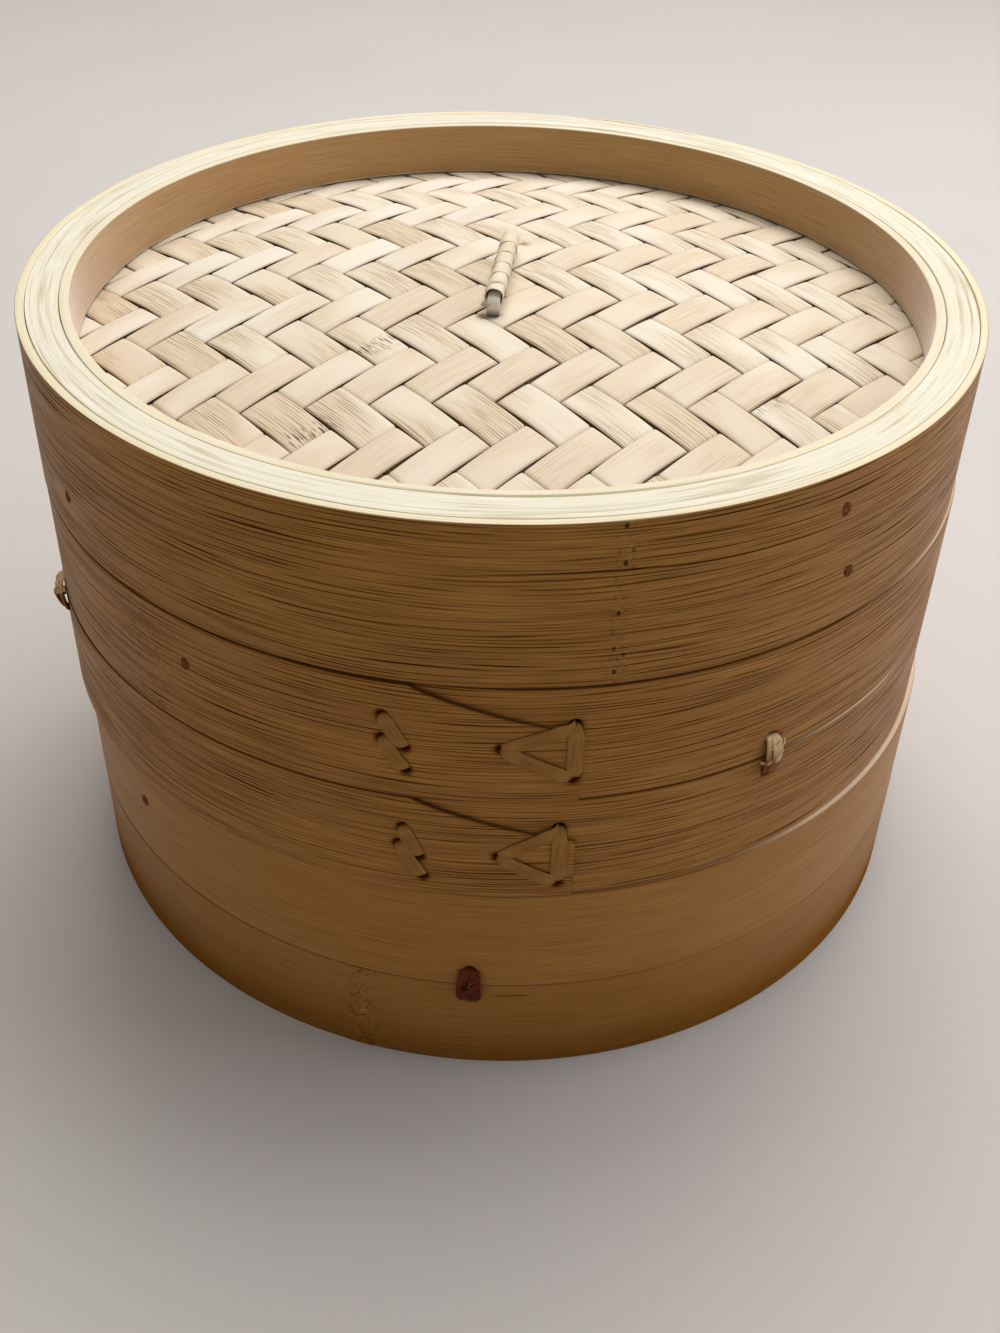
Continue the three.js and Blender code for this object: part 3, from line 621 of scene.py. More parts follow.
# %% Tier rings
TIER_HEIGHT, NECK_HEIGHT, FLOOR_RING_TOP, FLOOR_RING_INSIDE = 65.2, 8.0, 17.5, LINER_OUTSIDE - 6.0
SLAT_BOTTOM, SLAT_TOP = 17.8, 20.8
NECK = [(NECK_INSIDE, SLAT_TOP + 0.3), (LINER_OUTSIDE, SLAT_TOP + 0.3), (LINER_OUTSIDE, TIER_HEIGHT),
        (NECK_OUTSIDE, TIER_HEIGHT), (NECK_OUTSIDE, TIER_HEIGHT + NECK_HEIGHT),
        (NECK_INSIDE, TIER_HEIGHT + NECK_HEIGHT)]
for tier, seed in ((UPPER, 31), (LOWER, 41)):
    body = tier["body"]
    core = ring(tier, box(CORE_INSIDE, CORE_OUTSIDE, 0, TIER_HEIGHT), seed, CORE_JOINTS, step=0.3)
    build(body + "_core_hoop_laths", [core], SLAT, "bamboo_core", body, body + "_core_hoop")
    liner = ring(tier, NECK, seed + 1)
    build(body + "_liner_hoop_ring", [liner], NECK_SKIN, "bamboo_core", body, body + "_liner_hoop")
    floor_ring = ring(tier, box(FLOOR_RING_INSIDE, LINER_OUTSIDE, NEST_TOP, FLOOR_RING_TOP), seed + 2)
    build(body + "_floor_ring_lath", [floor_ring], LATH, "bamboo_core", body, body + "_floor_ring")

# %% [markdown]
# ## The floors
#
# Each tier's floor is a row of planed slats on two cross bars, with gaps that let the steam through. A
# slat's ends follow the round of the wall. So each one is a grid of a rounded section carried along the
# slat, and how far a point goes depends on its place across: the half chord of the circle.

# %% Slats and cross bars
FLOOR_RADIUS, SLAT_WIDTH, SLAT_PITCH, SLAT_COUNT = 115.9, 16.0, 25.5, 8
BAR_WIDTH, BAR_THICKNESS, BAR_OFFSET = 10.0, 4.0, 50.0
PLANK_SHIFT = np.array([900, 40])


def plank(place, middle, width, bottom, top, seed, turned=0.0, square=False):
    """A plank across the floor. Its section is a rounded rectangle, and its ends lie on the floor's circle,
    or are square where the plank is let into the ring."""
    half = width / 2
    section = outline(box(middle - half, middle + half, bottom, top), soft=0.6, step=2.0)
    across, height = section.T
    reach = np.sqrt(FLOOR_RADIUS ** 2 - (abs(middle) + half if square else across) ** 2)
    along = np.linspace(-1, 1, 41)[:, None] * np.broadcast_to(reach, across.shape)
    height = height + 0.12 * wander(along, seed)
    points = placed(across, along, place["base"] + height, place["turn"] + turned, place["axis"])
    chart = np.stack(np.broadcast_arrays(along[:, np.r_[0:len(section), 0]], travelled(section, closed=True)),
                     axis=-1)
    return quads(points, chart + seed * PLANK_SHIFT, tube=True, ends=True)


for tier, seed in ((UPPER, 51), (LOWER, 71)):
    body = tier["body"]
    for number in range(SLAT_COUNT):
        middle = (number - (SLAT_COUNT - 1) / 2) * SLAT_PITCH
        slat = plank(tier, middle, SLAT_WIDTH, SLAT_BOTTOM, SLAT_TOP, seed + number)
        node = f"{body}_slat_{number + 1}"
        build(node + "_planed", [slat], SLAT, "floor_slat", body, node)
    for number, offset in enumerate((-BAR_OFFSET, BAR_OFFSET)):
        bar = plank(tier, offset, BAR_WIDTH, FLOOR_RING_TOP - BAR_THICKNESS, FLOOR_RING_TOP,
                    seed + 10 + number, turned=90.0, square=True)
        node = f"{body}_cross_bar_{number + 1}"
        build(node + "_planed", [bar], SLAT, "floor_slat", body, node)

# %% [markdown]
# ## Woven strip
#
# The panel's strips are split so thin that they bend like tape. One set shows its smooth inner side, cream.
# The other shows more fibre, and is a little more tan. No two strips have the same tone, because they come
# from different depths of the culm wall, so each has its own shade as a mark on its points.

# %% Finish: woven bamboo strip, split and scraped
def woven_bamboo(name, pale, deep, line, line_share):
    """Thin strip. Fibres 0.4 mm apart along the strip, thin darker lines 0.8 mm apart on some stretches, a
    shade of its own that clouds over 34 mm, dark dashes at the mark knuckle, and brown painted shade where
    the dark mark is: under crossing strips, along front edges and round the handle's legs."""
    material, tree, shader = new_finish(name, {
        "Roughness": 0.6, "Specular IOR Level": 0.12, "IOR": BAMBOO_IOR})
    chart = add(tree, "UVMap", [], uv_map="chart")
    shade, knuckle, burn = (add(tree, "Attribute", [], "Fac", attribute_name=mark)
                            for mark in ("shade", "knuckle", "burn"))
    fibre = grain(tree, chart, 18, 0.4, 3.0, Roughness=0.6)
    fine = add(tree, "MapRange", [fibre, 0.35, 0.72, 0, 0.6])
    patch = grain(tree, chart, 34, 14)
    cloud = add(tree, "MapRange", [patch, 0.3, 0.7, -0.4, 0.4])
    clouded = add(tree, "Math", [shade, cloud], operation="ADD")
    lines = fibre_lines(tree, chart, spacing=0.8, bend=2.0, length=15.0, wide=0.3, thin=0.1)
    where = add(tree, "MapRange", [patch, 0.36, 0.62, 0, line_share])
    streaks = add(tree, "Math", [lines, where], operation="MULTIPLY")
    dash = fibre_lines(tree, chart, spacing=0.9, bend=3.0, length=3.5, wide=0.34, thin=0.16)
    dashes = add(tree, "Math", [dash, knuckle], operation="MULTIPLY")
    color = layered(tree, pale, (clouded, deep), (fine, deep), (streaks, line), (dashes, "#5f4c38"),
                    (burn, "#7a5220"))
    grooves = add(tree, "Math", [streaks, -0.8, fibre], operation="MULTIPLY_ADD")
    bump = add(tree, "Bump", {"Height": grooves, "Strength": 0.55, "Distance": 0.12 * MM})
    feed(tree, shader, {"Base Color": color, "Normal": bump})
    return material


PALE_STRIP = woven_bamboo("woven_bamboo_pale", "#eae3d6", "#decdb5", "#b0977a", 0.4)
WRAP_STRIP = woven_bamboo("woven_bamboo_wrap", "#e6dcc8", "#d8c9ae", "#a58c64", 0.5)
TAN_STRIP = woven_bamboo("woven_bamboo_tan", "#e8e0d0", "#dac8ae", "#876742", 0.75)

# %% [markdown]
# ## The woven panel
#
# The panel is a twill: each strip goes over two and under two, and each next strip starts one step later,
# which makes the zigzag. A picture of a weave on a disc would have no gaps and no shadows. So every strip
# is a ribbon of its own. A point of a ribbon is found on the slanted lattice of the two strip directions,
# which tells at once which strip is on top there. The ribbon's height is plus on its two cells over and
# minus on its two cells under, and it changes sign inside the narrow gap between two crossing strips, so
# ribbons never cut each other. Last, the whole weave is laid on the panel's dome.

# %% Weave lattice and dome
STEP_A, STEP_B = np.array([8.04, 9.36]), np.array([-7.41, 8.58])
LATTICE_START = np.array([0.3, -23.1])
PANEL_RADIUS, DOME_CROWN, PANEL_MIDDLE = 115.6, 10.0, 1.2
STRIP_SHARE, STRIP_THICKNESS, STRIP_CROWN = 0.97, 0.6, 0.12
EDGE_LIFT, FLOAT_LIFT, SWITCH_LENGTH, END_SPILL = 0.34, 0.75, 0.5, 0.03
LEG_SPOTS = np.array([(-2.5, -16.9), (-5.2, -16.8), (1.7, 24.5), (5.1, 32.5)])
GROWTH_SPOTS = np.array([(-44.4, -71.4), (-32.1, -33.8), (65.4, -50.4)])
# Amounts and reach of painted shade: under crossing strips, along front edges and round the handle's legs
HIDDEN_SHADE, FRONT_EDGE_SHADE, LEG_SHADE, LEG_SHADE_RADIUS, DASH_REACH = 0.65, 0.55, 0.85, 1.7, 3.2

# Rows within a lattice cell, closest near the gaps, and columns over a strip's top and back along its
# underside
CELL_ROWS = np.array([0.0, 0.022, 0.045, 0.12, 0.25, 0.4, 0.55, 0.7, 0.82, 0.92, 0.957, 0.98])
TOP = np.array([-1, -0.97, -0.88, -0.65, -0.3, 0, 0.3, 0.65, 0.88, 0.97, 1])
UNDERSIDE = np.array([0.9, 0.8, 0.65, 0.3, 0, -0.3, -0.65, -0.8, -0.9])
SHARE = np.concatenate([TOP, UNDERSIDE])
PROFILE = np.concatenate([1 - TOP ** 24, -np.ones(UNDERSIDE.size)]) * STRIP_THICKNESS / 2
PROFILE -= STRIP_CROWN * SHARE ** 2


def dome(x, y):
    """Height of the panel's middle: a shallow paraboloid that ends level under the liner."""
    share = np.minimum(np.hypot(x, y) / LID_LINER_INSIDE, 1)
    return LID["top"] - PANEL_DEPTH + DOME_CROWN * (1 - share ** 2) - PANEL_MIDDLE


def ride_height(phase, cell):
    """Height of a strip along its run. Over for phase 0 to 2 and under for 2 to 4: a quick change of
    EDGE_LIFT within the gap at the switch, and a slow swell to FLOAT_LIFT in the middle of each float."""
    near = np.minimum(phase % 2, 2 - phase % 2)
    quick = np.clip(near * cell / SWITCH_LENGTH, 0, 1)
    height = EDGE_LIFT * quick * quick * (3 - 2 * quick) + (FLOAT_LIFT - EDGE_LIFT) * np.sin(np.pi / 2 * near)
    return np.where(phase % 4 < 2, height, -height)


def woven_ribbon(number, run, side, over_first, tone, random):
    """One strip along run, between the lattice lines number and number + 1 of the side direction. Rows lie
    along the crossing strips, and the ends lie on the panel's circle. Brown painted shade lies where the
    strip dips under another, along its front edge and round the handle's legs. Tone is the strip's mean
    shade."""
    length = np.linalg.norm(run)
    unit = run / length
    square = np.array([-unit[1], unit[0]])
    pitch, sense = abs(side @ square), np.sign(side @ square)
    start = LATTICE_START + (number + 0.5) * side
    off = start @ square
    width = STRIP_SHARE * random.uniform(0.965, 1.02)
    shift = random.uniform(-0.015, 0.015)
    lowest, highest = np.sort(sense * (np.array([-1, 1]) * (PANEL_RADIUS - 1) - off) / pitch)
    if min(width / 2, highest) - max(-width / 2, lowest) < 0.15:
        return None
    left, right = np.clip([shift - width / 2, shift + width / 2], lowest, highest)
    across = left + (SHARE + 1) / 2 * (right - left)

    half_chord = np.sqrt(PANEL_RADIUS ** 2 - (off + sense * across * pitch) ** 2) / length
    base = start + across[:, None] * side
    middle = -(base @ unit) / length
    first, last = middle - half_chord, middle + half_chord
    cells = np.arange(np.floor(first.min()), np.ceil(last.max()) + 1)
    inner = (cells[:, None] + CELL_ROWS).ravel()
    inner = inner[(inner > first.min()) & (inner < last.max())]
    rows = np.concatenate([[first.min()], inner, [last.max()]])[:, None]
    along = np.clip(rows, first, last)
    along = along + END_SPILL * (rows - along)

    flat = base + along[..., None] * run
    x, y = flat[..., 0], flat[..., 1]
    phase = along + number + (0 if over_first else 2)
    tilt = random.uniform(-0.1, 0.1) * SHARE
    height = dome(x, y) + ride_height(phase, length) + PROFILE + tilt
    points = placed(x, y, height, 0, LID["axis"])
    chart = np.stack([along * length + random.uniform(0, 4000),
                      np.broadcast_to(across * pitch, along.shape) + random.uniform(0, 900)], axis=-1)
    chart = np.concatenate([chart, chart[:, :1]], axis=1)
    to_leg = np.linalg.norm(flat[:, :, None] - LEG_SPOTS, axis=-1).min(axis=-1)
    # Painted shade, brown: where the strip dips under another, along its front edge and round the handle's
    # legs
    hidden = np.where(phase % 4 < 2, 0, HIDDEN_SHADE)
    front_edge = np.interp(-SHARE, [0.86, 1.0], [0, FRONT_EDGE_SHADE])
    burn = np.maximum(LEG_SHADE * np.exp(-(to_leg / LEG_SHADE_RADIUS) ** 4), np.maximum(hidden, front_edge))
    away = flat[:, :, None] - GROWTH_SPOTS
    beside = np.abs(away @ square) < 0.55 * pitch
    knuckle = (np.exp(-(away @ unit / DASH_REACH) ** 4) * beside * (not over_first)).max(axis=-1)
    shade = np.clip(tone + random.uniform(-0.4, 0.4), 0, 1)
    return quads(points, chart, tube=True, ends=True, shade=shade, burn=burn, knuckle=knuckle)


# %% Woven panel
random = np.random.default_rng(5)
for name, finish, run, side, over_first, tone, trend in (
        ("pale", PALE_STRIP, STEP_A, STEP_B, True, 0.55, 0.06),
        ("tan", TAN_STRIP, STEP_B, STEP_A, False, 0.5, 0.05)):
    strips = [woven_ribbon(number, run, side, over_first, tone - trend * (number - 3), random)
              for number in range(-12, 18)]
    strips = [strip for strip in strips if strip]
    print(len(strips), name, "strips")
    build(f"lid_panel_{name}_strips", strips, finish, "woven_strip", "lid", "lid_woven_panel", crease=60)

# %% [markdown]
# ## Lacing cane
#
# Laces, knots and the handle's inner strip are split cane: brown on the skin side, dry, with fibres that
# show as fine lines, and paler at bends and frayed ends, partly where the fibres have opened and partly as
# a painted highlight.

# %% Finish: lacing cane, split, dry
def lacing_cane(name, skin, deep, fold):
    """Cane lace. Fibres 0.4 mm apart along the lace, and paler at the fold mark: opened fibres and a painted
    highlight on bends.
    """
    material, tree, shader = new_finish(name, {
        "Roughness": 0.6, "Specular IOR Level": 0.15, "IOR": BAMBOO_IOR})
    chart = add(tree, "UVMap", [], uv_map="chart")
    fibre = grain(tree, chart, 9, 0.4, 3.0, Roughness=0.65)
    fine = add(tree, "MapRange", [fibre, 0.32, 0.72])
    opened, burn = (add(tree, "Attribute", [], "Fac", attribute_name=mark) for mark in ("fold", "burn"))
    split = add(tree, "Math", [fibre, 1.3, 0.2], operation="MULTIPLY_ADD")
    lit = add(tree, "Math", [opened, split], operation="MULTIPLY", use_clamp=True)
    color = layered(tree, skin, (fine, deep), (lit, fold), (burn, "#2a180b"))
    bump = add(tree, "Bump", {"Height": fibre, "Strength": 0.6, "Distance": 0.15 * MM})
    feed(tree, shader, {"Base Color": color, "Normal": bump})
    return material


CANE = lacing_cane("lacing_cane", "#a3713a", "#835726", "#b58748")
KNOT_CANE = lacing_cane("knotted_cane", "#9a6638", "#5f3717", "#f0cf9f")
DARK_CANE = lacing_cane("lacing_cane_dark", "#6a2a12", "#3f1508", "#94502c")
HANDLE_CANE = lacing_cane("handle_cane", "#ece2d4", "#d2c1a8", "#f5efe6")

# %% [markdown]
# ## Laces on the wall
#
# A lace is easiest to draw on the wall rolled out flat: arc length across, height up, and lift off the
# wall. There it is a path with a width, and its section is a flat strip with a low crown. Then the flat
# drawing is wrapped onto the round wall. At each end the path dives into its hole.

# %% Ribbon along a path, and the wrap onto the wall
LACE_WIDTH, LACE_THICKNESS, LACE_ROWS, LACE_DIVE = 3.8, 0.5, 41, -1.6
LACE_SHIFT = np.array([300, 50])
LENS_SHARE = np.array([-1, -0.9, -0.55, 0, 0.55, 0.9, 1, 0.9, 0.55, 0, -0.55, -0.9])
LENS_BULGE = np.array([0, 0.32, 0.45, 0.55, 0.45, 0.32, 0, -0.32, -0.4, -0.42, -0.4, -0.32])


def smooth_path(corners, count):
    """A path through corners, evenly spaced by length and then smoothed three times between its fixed
    ends."""
    corners = np.array(corners, dtype=float)
    travel = travelled(corners)
    even = np.linspace(0, travel[-1], count)
    path = np.stack([np.interp(even, travel, line) for line in corners.T], axis=-1)
    for _ in range(3):
        path[1:-1] = (path[:-2] + 2 * path[1:-1] + path[2:]) / 4
    return path


def ribbon(path, width, thickness, side=None, seed=0, fold=0.0, burnt_ends=True):
    """A strip along a path in the flat drawing. Its side direction lies in the wall's plane, square to the
    run, unless it is given, and its section is a lens with rounded edges: 12 points from edge to edge and
    back."""
    tangent = np.gradient(path, axis=0)
    tangent /= np.linalg.norm(tangent, axis=1, keepdims=True)
    if side is None:
        run = path[-1] - path[0]
        side = np.array([run[1], -run[0], 0.0])
        side /= np.linalg.norm(side)
    side = np.broadcast_to(side, path.shape)
    out = np.cross(side, tangent)
    out /= np.linalg.norm(out, axis=1, keepdims=True)
    out = out * np.where(out[:, 2:].mean() < 0, -1, 1)
    width = np.broadcast_to(width, len(path))[:, None, None]
    offset = side[:, None] * LENS_SHARE[:, None] * width / 2 + out[:, None] * LENS_BULGE[:, None] * thickness
    chart = np.stack(np.broadcast_arrays(travelled(path)[:, None], np.append(LENS_SHARE, -1) * 2), axis=-1)
    chart = chart + seed * LACE_SHIFT
    # Painted shade: the part of a lace that dives below the wall into its hole is darkened
    burn = np.clip(-path[:, 2:] / 1.2 - 0.1, 0, 1) * burnt_ends
    return {"points": path[:, None] + offset, "chart": chart, "burn": burn, "fold": np.reshape(fold, (-1, 1))}


def wrapped(tier, drawing):
    """Wraps a flat drawing onto the wall: arc length becomes an angle from the tongue's tip, and lift adds
    to the radius."""
    across, up, lift = np.moveaxis(drawing["points"], -1, 0)
    wall = on_wall(tier, across / ARC, up, STRIP_OUTSIDE + lift)
    return quads(wall, drawing["chart"], tube=True, ends=True, burn=drawing["burn"], fold=drawing["fold"])


def lace(tier, start, end, lift, seed):
    """One lace between two holes: up out of the first, along the wall and down into the second."""
    start, end = (np.array([angle * ARC, height]) for angle, height in (start, end))
    run = (end - start) / np.linalg.norm(end - start)
    stops = [(start, LACE_DIVE), (start + 0.2 * run, 0.2), (start + 1.6 * run, lift),
             ((start + end) / 2, lift + 0.15), (end - 1.6 * run, lift), (end - 0.2 * run, 0.2),
             (end, LACE_DIVE)]
    path = smooth_path([np.append(*stop) for stop in stops], LACE_ROWS)
    from_end = np.minimum(np.arange(LACE_ROWS), np.arange(LACE_ROWS)[::-1])
    width = LACE_WIDTH * np.interp(from_end, [0, 5, 10], [0.5, 0.72, 1.0])
    # Paler near each end, where the lace bends out of its hole: opened fibres and a painted highlight on the
    # bend
    fold = np.exp(-((from_end - 9) / 3.0) ** 2) * 0.3
    return wrapped(tier, ribbon(path, width, LACE_THICKNESS, seed=seed, fold=fold))


# %% Stitches and triangles
STITCH_LIFTS, TRIANGLE_LIFTS = (0.6, 0.8), (0.85, 1.0, 1.15)
for tier, seed in ((UPPER, 3), (LOWER, 5)):
    for band in BANDS:
        left, high, low = TRIANGLES[band]
        laces = {"stitch": zip(STITCHES[band], STITCH_LIFTS, (0, 1)),
                 "triangle": zip([(left, high), (high, low), (low, left)], TRIANGLE_LIFTS, (7, 8, 9))}
        for kind, runs in laces.items():
            node = f"{tier['body']}_{band}_lap_{kind}"
            parts = [lace(tier, *holes, lift, seed + number) for holes, lift, number in runs]
            build(node + "_laces", parts, CANE, "lace_strip", tier["body"], node)

# %% [markdown]
# ## Knots over the seam
#
# Three knots tie the two hoops of a tier together. Each is a cane that has split into strands: they come
# out above the seam, lie side by side over it and go in below, and one turn is drawn across them. Where the
# cane was cut, loose ends stand up. So a knot is a row of narrow ribbons with a little disorder, one
# slanted ribbon over them and some thin strands.

# %% Knots
KNOT_ROWS, STRAND_THICKNESS, TURN_WIDTH = 33, 0.8, 1.7


def knot(tier, angle, seed, strands, frayed):
    """A knot round the seam at an angle: strands side by side that swell over the seam, a turn across them,
    and loose ends."""
    random = np.random.default_rng(seed)
    at = np.array([angle * ARC, SEAM, 0.0])
    drawings = []
    for place in np.linspace(-1, 1, strands):
        x = 1.8 * place
        swell = 2.7 - 1.1 * place ** 2 + random.uniform(-0.4, 0.4)
        sway = random.uniform(-0.6, 0.6)
        run = [(0.5 * x, 5.6, -1.6), (0.7 * x, 5.5, 0.5), (x + sway, 3.6, 0.75 * swell), (x, 0.5, swell),
               (0.9 * x - sway, -3.0, 0.65 * swell), (0.5 * x, -5.2, 0.4), (0.3 * x, -5.6, -1.6)]
        # Strands are paler towards the top of the knot: frayed, opened fibres and a painted highlight
        drawings.append(ribbon(
            smooth_path(at + np.array(run), KNOT_ROWS), 0.8 + 4.2 / strands, STRAND_THICKNESS,
            side=np.array([1.0, 0, 0.4 * place]), seed=seed + len(drawings),
            fold=np.linspace(1.7, -1.5, KNOT_ROWS).clip(0, 1) * frayed))
    slant = random.uniform(1.6, 2.4)
    run = [(-2.4, 0.4 - slant, 0.3), (-2.0, 0.4 - 0.8 * slant, 1.6), (0, 0.6, 3.2),
           (2.1, 0.6 + 0.8 * slant, 1.7), (2.4, 0.6 + slant, 0.4)]
    drawings.append(ribbon(smooth_path(at + np.array(run), KNOT_ROWS), TURN_WIDTH, STRAND_THICKNESS,
                           seed=seed + 11, fold=0.6 * frayed))
    for _ in range(int(10 * frayed)):
        root = at + np.array([random.uniform(-1.7, 1.9), random.uniform(2.4, 4.6), random.uniform(1.8, 2.6)])
        lean = np.array([random.uniform(-1.0, 1.6), random.uniform(0.2, 2.2), random.uniform(-0.2, 0.7)])
        share = np.linspace(0, 1, 9)[:, None]
        loose = root + share * lean - share ** 2 * np.array([0, 0.6, 1.4])
        drawings.append(ribbon(loose, 0.4, 0.3, seed=seed + len(drawings), fold=1.0, burnt_ends=False))
    return [wrapped(tier, drawing) for drawing in drawings]


for tier, seed, cane, strands, frayed in ((UPPER, 100, KNOT_CANE, 7, 1.0), (LOWER, 140, DARK_CANE, 2, 0.1)):
    for number, angle in enumerate(KNOTS):
        node = f"{tier['body']}_seam_knot_{number + 1}"
        tied = knot(tier, angle, seed + 20 * number, strands, frayed)
        build(node + "_cane", tied, cane, "lace_strip", tier["body"], node)

# %% [markdown]
# ## Pins
#
# Bamboo pegs hold the strips to the core. They are cut flush, so only a dark, slightly oval end with a
# rough middle shows. A pin is a disc that is carried into the wall: rings of points from its middle out to
# its rim and back along its shank.

# %% Finish: bamboo peg, cut across
PEG, tree, shader = new_finish("bamboo_peg", {
    "Roughness": 0.75, "Specular IOR Level": 0.1, "IOR": BAMBOO_IOR})
spot = add(tree, "TexCoord", [], "Object")
pores = add(tree, "TexNoise", {"Vector": spot, "Scale": 1 / (0.6 * MM), "Detail": 2.0})
tone = add(tree, "MapRange", [pores, 0.35, 0.65])
color = layered(tree, "#4a2810", (tone, "#7f5022"))
bump = add(tree, "Bump", {"Height": pores, "Strength": 0.7, "Distance": 0.2 * MM})
feed(tree, shader, {"Base Color": color, "Normal": bump})


# %% Pins
PIN_WIDTH, PIN_HEIGHT, PIN_SIDES = 1.5, 1.75, 20


def pin(place, angle, height, seed):
    """A peg across the wall: rows go from the middle of its end out to the rim, then down its shank to the
    tip."""
    random = np.random.default_rng(seed)
    size = np.array([0.02, 0.5, 0.85, 1.0, 1.0, 0.02])[:, None]
    lift = np.array([0.12, 0.16, 0.2, 0.05, -8.3, -8.5])[:, None]
    turn = np.linspace(0, 2 * np.pi, PIN_SIDES, endpoint=False)
    oval, bent = random.uniform(0, 6), random.uniform(0, 6)
    rough = 1 + 0.09 * np.sin(2 * turn + oval) + 0.06 * np.sin(3 * turn + bent)
    across, up = PIN_WIDTH * size * rough * np.cos(turn), PIN_HEIGHT * size * rough * np.sin(turn)
    points = on_wall(place, angle + across / ARC, height + up, STRIP_OUTSIDE + lift)
    return quads(points, np.zeros((len(size), PIN_SIDES + 1, 2)), tube=True, ends=True)


TIER_PINS = [(-44.7, 51.95), (105.3, 51.95)]
LID_PINS = [(angle - LID["turn"], height) for angle, height in (
    (-52.6, 32.7), (-50.3, 14.2), (-145.2, 12.2), (84.0, 21.0))]
for place, pins, seed in ((LID, LID_PINS, 0), (UPPER, TIER_PINS, 10), (LOWER, TIER_PINS, 10)):
    for number, (angle, height) in enumerate(pins):
        node = f"{place['body']}_pin_{number + 1}"
        build(node + "_peg", [pin(place, angle, height, seed + number)], PEG, "pin", place["body"], node)

# %% [markdown]
# ## The handle
#
# The handle is a bent strip whose legs go down through the panel and turn in under it, and a wider strip
# wound round it from one leg to the other. Each turn of the winding lies on the edge of the turn before, so
# the roll has small steps like a rolled bandage. The winding is a grid of a tilted section carried along a
# helix. All of this is drawn along x first, then turned and set on the lid.

# %% Handle surfaces
HANDLE_AT, HANDLE_TURN, HANDLE_LEG, HANDLE_TAIL = np.array([-0.42, 3.79]), -5.8, 20.8, 12.0
MAT_AT_LEG = float(dome(HANDLE_LEG, 0.0)) + PANEL_MIDDLE
ROLL_HEIGHT, TAIL_HEIGHT = MAT_AT_LEG + 4.4, MAT_AT_LEG - 4.8
WRAP_SHARE = np.array([-1, -0.97, -0.7, -0.4, 0, 0.4, 0.7, 0.97, 1, 0.97, 0.4, 0, -0.4, -0.97])
WRAP_FACE = np.array([0.5, 0.95, 1, 1, 1, 1, 1, 0.95, 0.5, 0, 0, 0, 0, 0])


def on_handle(points):
    """Turns points from the handle's own axes, x along its bar, to the lid's."""
    return placed(*np.moveaxis(points, -1, 0), 90 + HANDLE_TURN, HANDLE_AT + LID["axis"])


def winding(turns, half_length, width, inside, thickness):
    """The winding: a flat section carried along a helix. The first and the last turn stay in place, so that
    the ends are square. Where a turn lies on the one before, as far as their widths overlap, it is lifted
    by one thickness."""
    step = np.linspace(0, turns, int(turns * 40) + 1)
    travel = np.clip((step - 0.9) / (turns - 1.8), 0, 1)
    travel = travel + 0.02 * np.sin(9 * np.pi * travel)
    before = np.interp(step - 1, step, travel)
    run = 2 * half_length - width
    overlap = np.where(step < 1, 0, 1 - (travel - before) * run / width)[:, None]
    lap = np.clip((overlap + 0.15 - (WRAP_SHARE + 1) / 2) / 0.3, 0, 1)
    angle = 2 * np.pi * step[:, None] - 1.9
    uneven = 0.05 * np.sin(5 * angle + 2) + 0.05 * np.sin(3.3 * angle)
    radius = inside + (WRAP_FACE + lap) * thickness + uneven
    along = (travel * run - run / 2)[:, None] + WRAP_SHARE * width / 2 + 0.12 * np.sin(1.7 * angle)
    points = np.stack([along, radius * np.cos(angle), ROLL_HEIGHT + radius * np.sin(angle)], axis=-1)
    chart = np.stack(np.broadcast_arrays(angle * inside, np.append(WRAP_SHARE, -1) * width / 2), axis=-1)
    return quads(on_handle(points), chart, tube=True, ends=True, shade=0.5)


def bent_strip(corners, width, thickness, seed, side=(0.0, 1.0, 0.0), fold=0.0, darker_by=0.0, count=81):
    """A strip bent along a path, as wide as given along its side direction, with painted shade where it goes
    into the mat, and darker all over by a given amount."""
    strip = ribbon(smooth_path(corners, count), width, thickness, side=np.array(side), seed=seed, fold=fold)
    # Painted shade near the mat, as contact shade where the legs go in
    into_mat = np.clip((MAT_AT_LEG + 1.7 - strip["points"][..., 2]) / 1.2, 0, 1)
    return quads(on_handle(strip["points"]), strip["chart"], tube=True, ends=True,
                 burn=np.maximum(darker_by, 0.85 * into_mat), fold=strip["fold"])


# %% Handle pieces
leg = [(HANDLE_LEG, 0, ROLL_HEIGHT), (HANDLE_LEG, 0, TAIL_HEIGHT), (HANDLE_LEG - HANDLE_TAIL, 0, TAIL_HEIGHT)]
core_run = [(-x, y, z) for x, y, z in leg[::-1]] + leg
loose_run = [(-17.8, 0.6, ROLL_HEIGHT - 0.7), (-19.9, 1.2, ROLL_HEIGHT - 0.9),
             (-20.9, 2.1, ROLL_HEIGHT - 1.6), (-20.6, 2.3, ROLL_HEIGHT - 2.1)]
core = [bent_strip(core_run, width=3.4, thickness=1.3, seed=3, fold=0.4),
        bent_strip(loose_run, width=2.4, thickness=0.8, seed=4, side=(0.35, 0.94, 0.0), darker_by=0.35, count=25)]
build("handle_core_strip", core, HANDLE_CANE, "lace_strip", "handle", "handle_core")
roll = winding(turns=6.6, half_length=19.8, width=7.8, inside=2.18, thickness=0.25)
build("handle_wrap_strip", [roll], WRAP_STRIP, "woven_strip", "handle", "handle_wrap", crease=50)

# %% [markdown]
# ## Floor, light and backdrop
#
# The steamer stands on a plain pale floor. A large soft lamp above and a little behind makes the rim and
# the weave bright and leaves the front of the wall in half shade, as in the photograph. A weaker, cooler
# one stands at the right, and the world fills the shadows evenly.

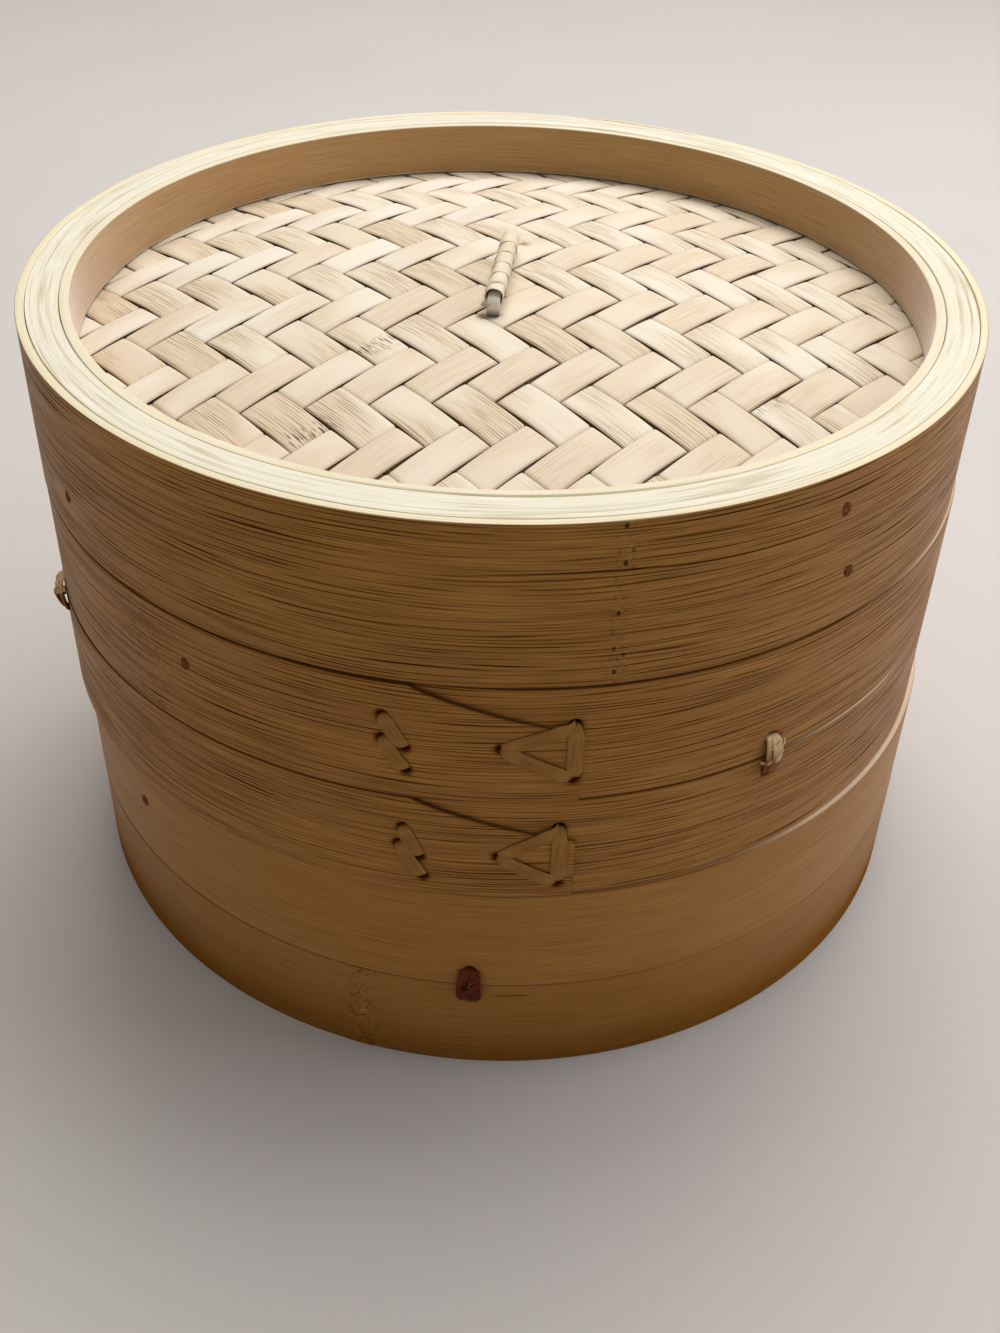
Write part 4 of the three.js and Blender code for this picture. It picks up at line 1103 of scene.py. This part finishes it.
# %% Floor
FLOOR_HALF = 15.0
material, tree, shader = new_finish("pale_floor", {"Roughness": 0.8})
spot = add(tree, "TexCoord", [], "Object")
mottle = add(tree, "TexNoise", {"Vector": spot, "Scale": 6.0, "Detail": 2.0})
color = layered(tree, "#c6c1bd", (mottle, "#cdc9c5"))
feed(tree, shader, {"Base Color": color})
mesh = bpy.data.meshes.new("floor")
mesh.from_pydata([(x * FLOOR_HALF, y * FLOOR_HALF, 0) for x, y in ((-1, -1), (1, -1), (1, 1), (-1, 1))], [],
                 [(0, 1, 2, 3)])
mesh.materials.append(material)
floor = to_scene("floor", mesh)
floor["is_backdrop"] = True

# %% Lamps and world
LIGHT_AIM = np.array([0, 0, 0.1])


def lamp(name, at, size, watts, code):
    """A square soft lamp that shines from a point to the steamer. Its -z axis points along the light."""
    light = bpy.data.lights.new(name, "AREA")
    light.size = size
    light.energy = watts
    light.color = linear(code)[:3]
    back = (at - LIGHT_AIM) / np.linalg.norm(at - LIGHT_AIM)
    side = np.cross([0, 1, 0.001], back)
    side /= np.linalg.norm(side)
    columns = np.column_stack([side, np.cross(back, side), back, at])
    to_scene(name, light, Matrix([*columns.tolist(), [0, 0, 0, 1]]))
    print(name, watts, "W")


lamp("ceiling_lamp", (0.15, 0.6, 1.4), 1.1, 19.4, "#fffbf4")
lamp("side_lamp", (1.05, 0.1, 0.75), 0.8, 5.4, "#f3f5ff")
world = bpy.data.worlds.new("room")
world.use_nodes = True
feed(world.node_tree, world.node_tree.nodes["Background"], {"Color": "#f4f3f1", "Strength": 0.4})
bpy.context.scene.world = world
bpy.context.scene.view_settings.view_transform = "Standard"

# %% [markdown]
# ## Size
#
# The box of the CAD model and the box of the dressed steamer are both printed. The dressed steamer
# may not outgrow the CAD model.

# %% Sizes and finish
low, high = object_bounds()
sizes = {"cad": [list(cad_low), list(cad_high)], "visual": [list(low), list(high)]}
for name, (start, end) in sizes.items():
    print(name, "box", np.round(np.subtract(end, start) / MM, 1))
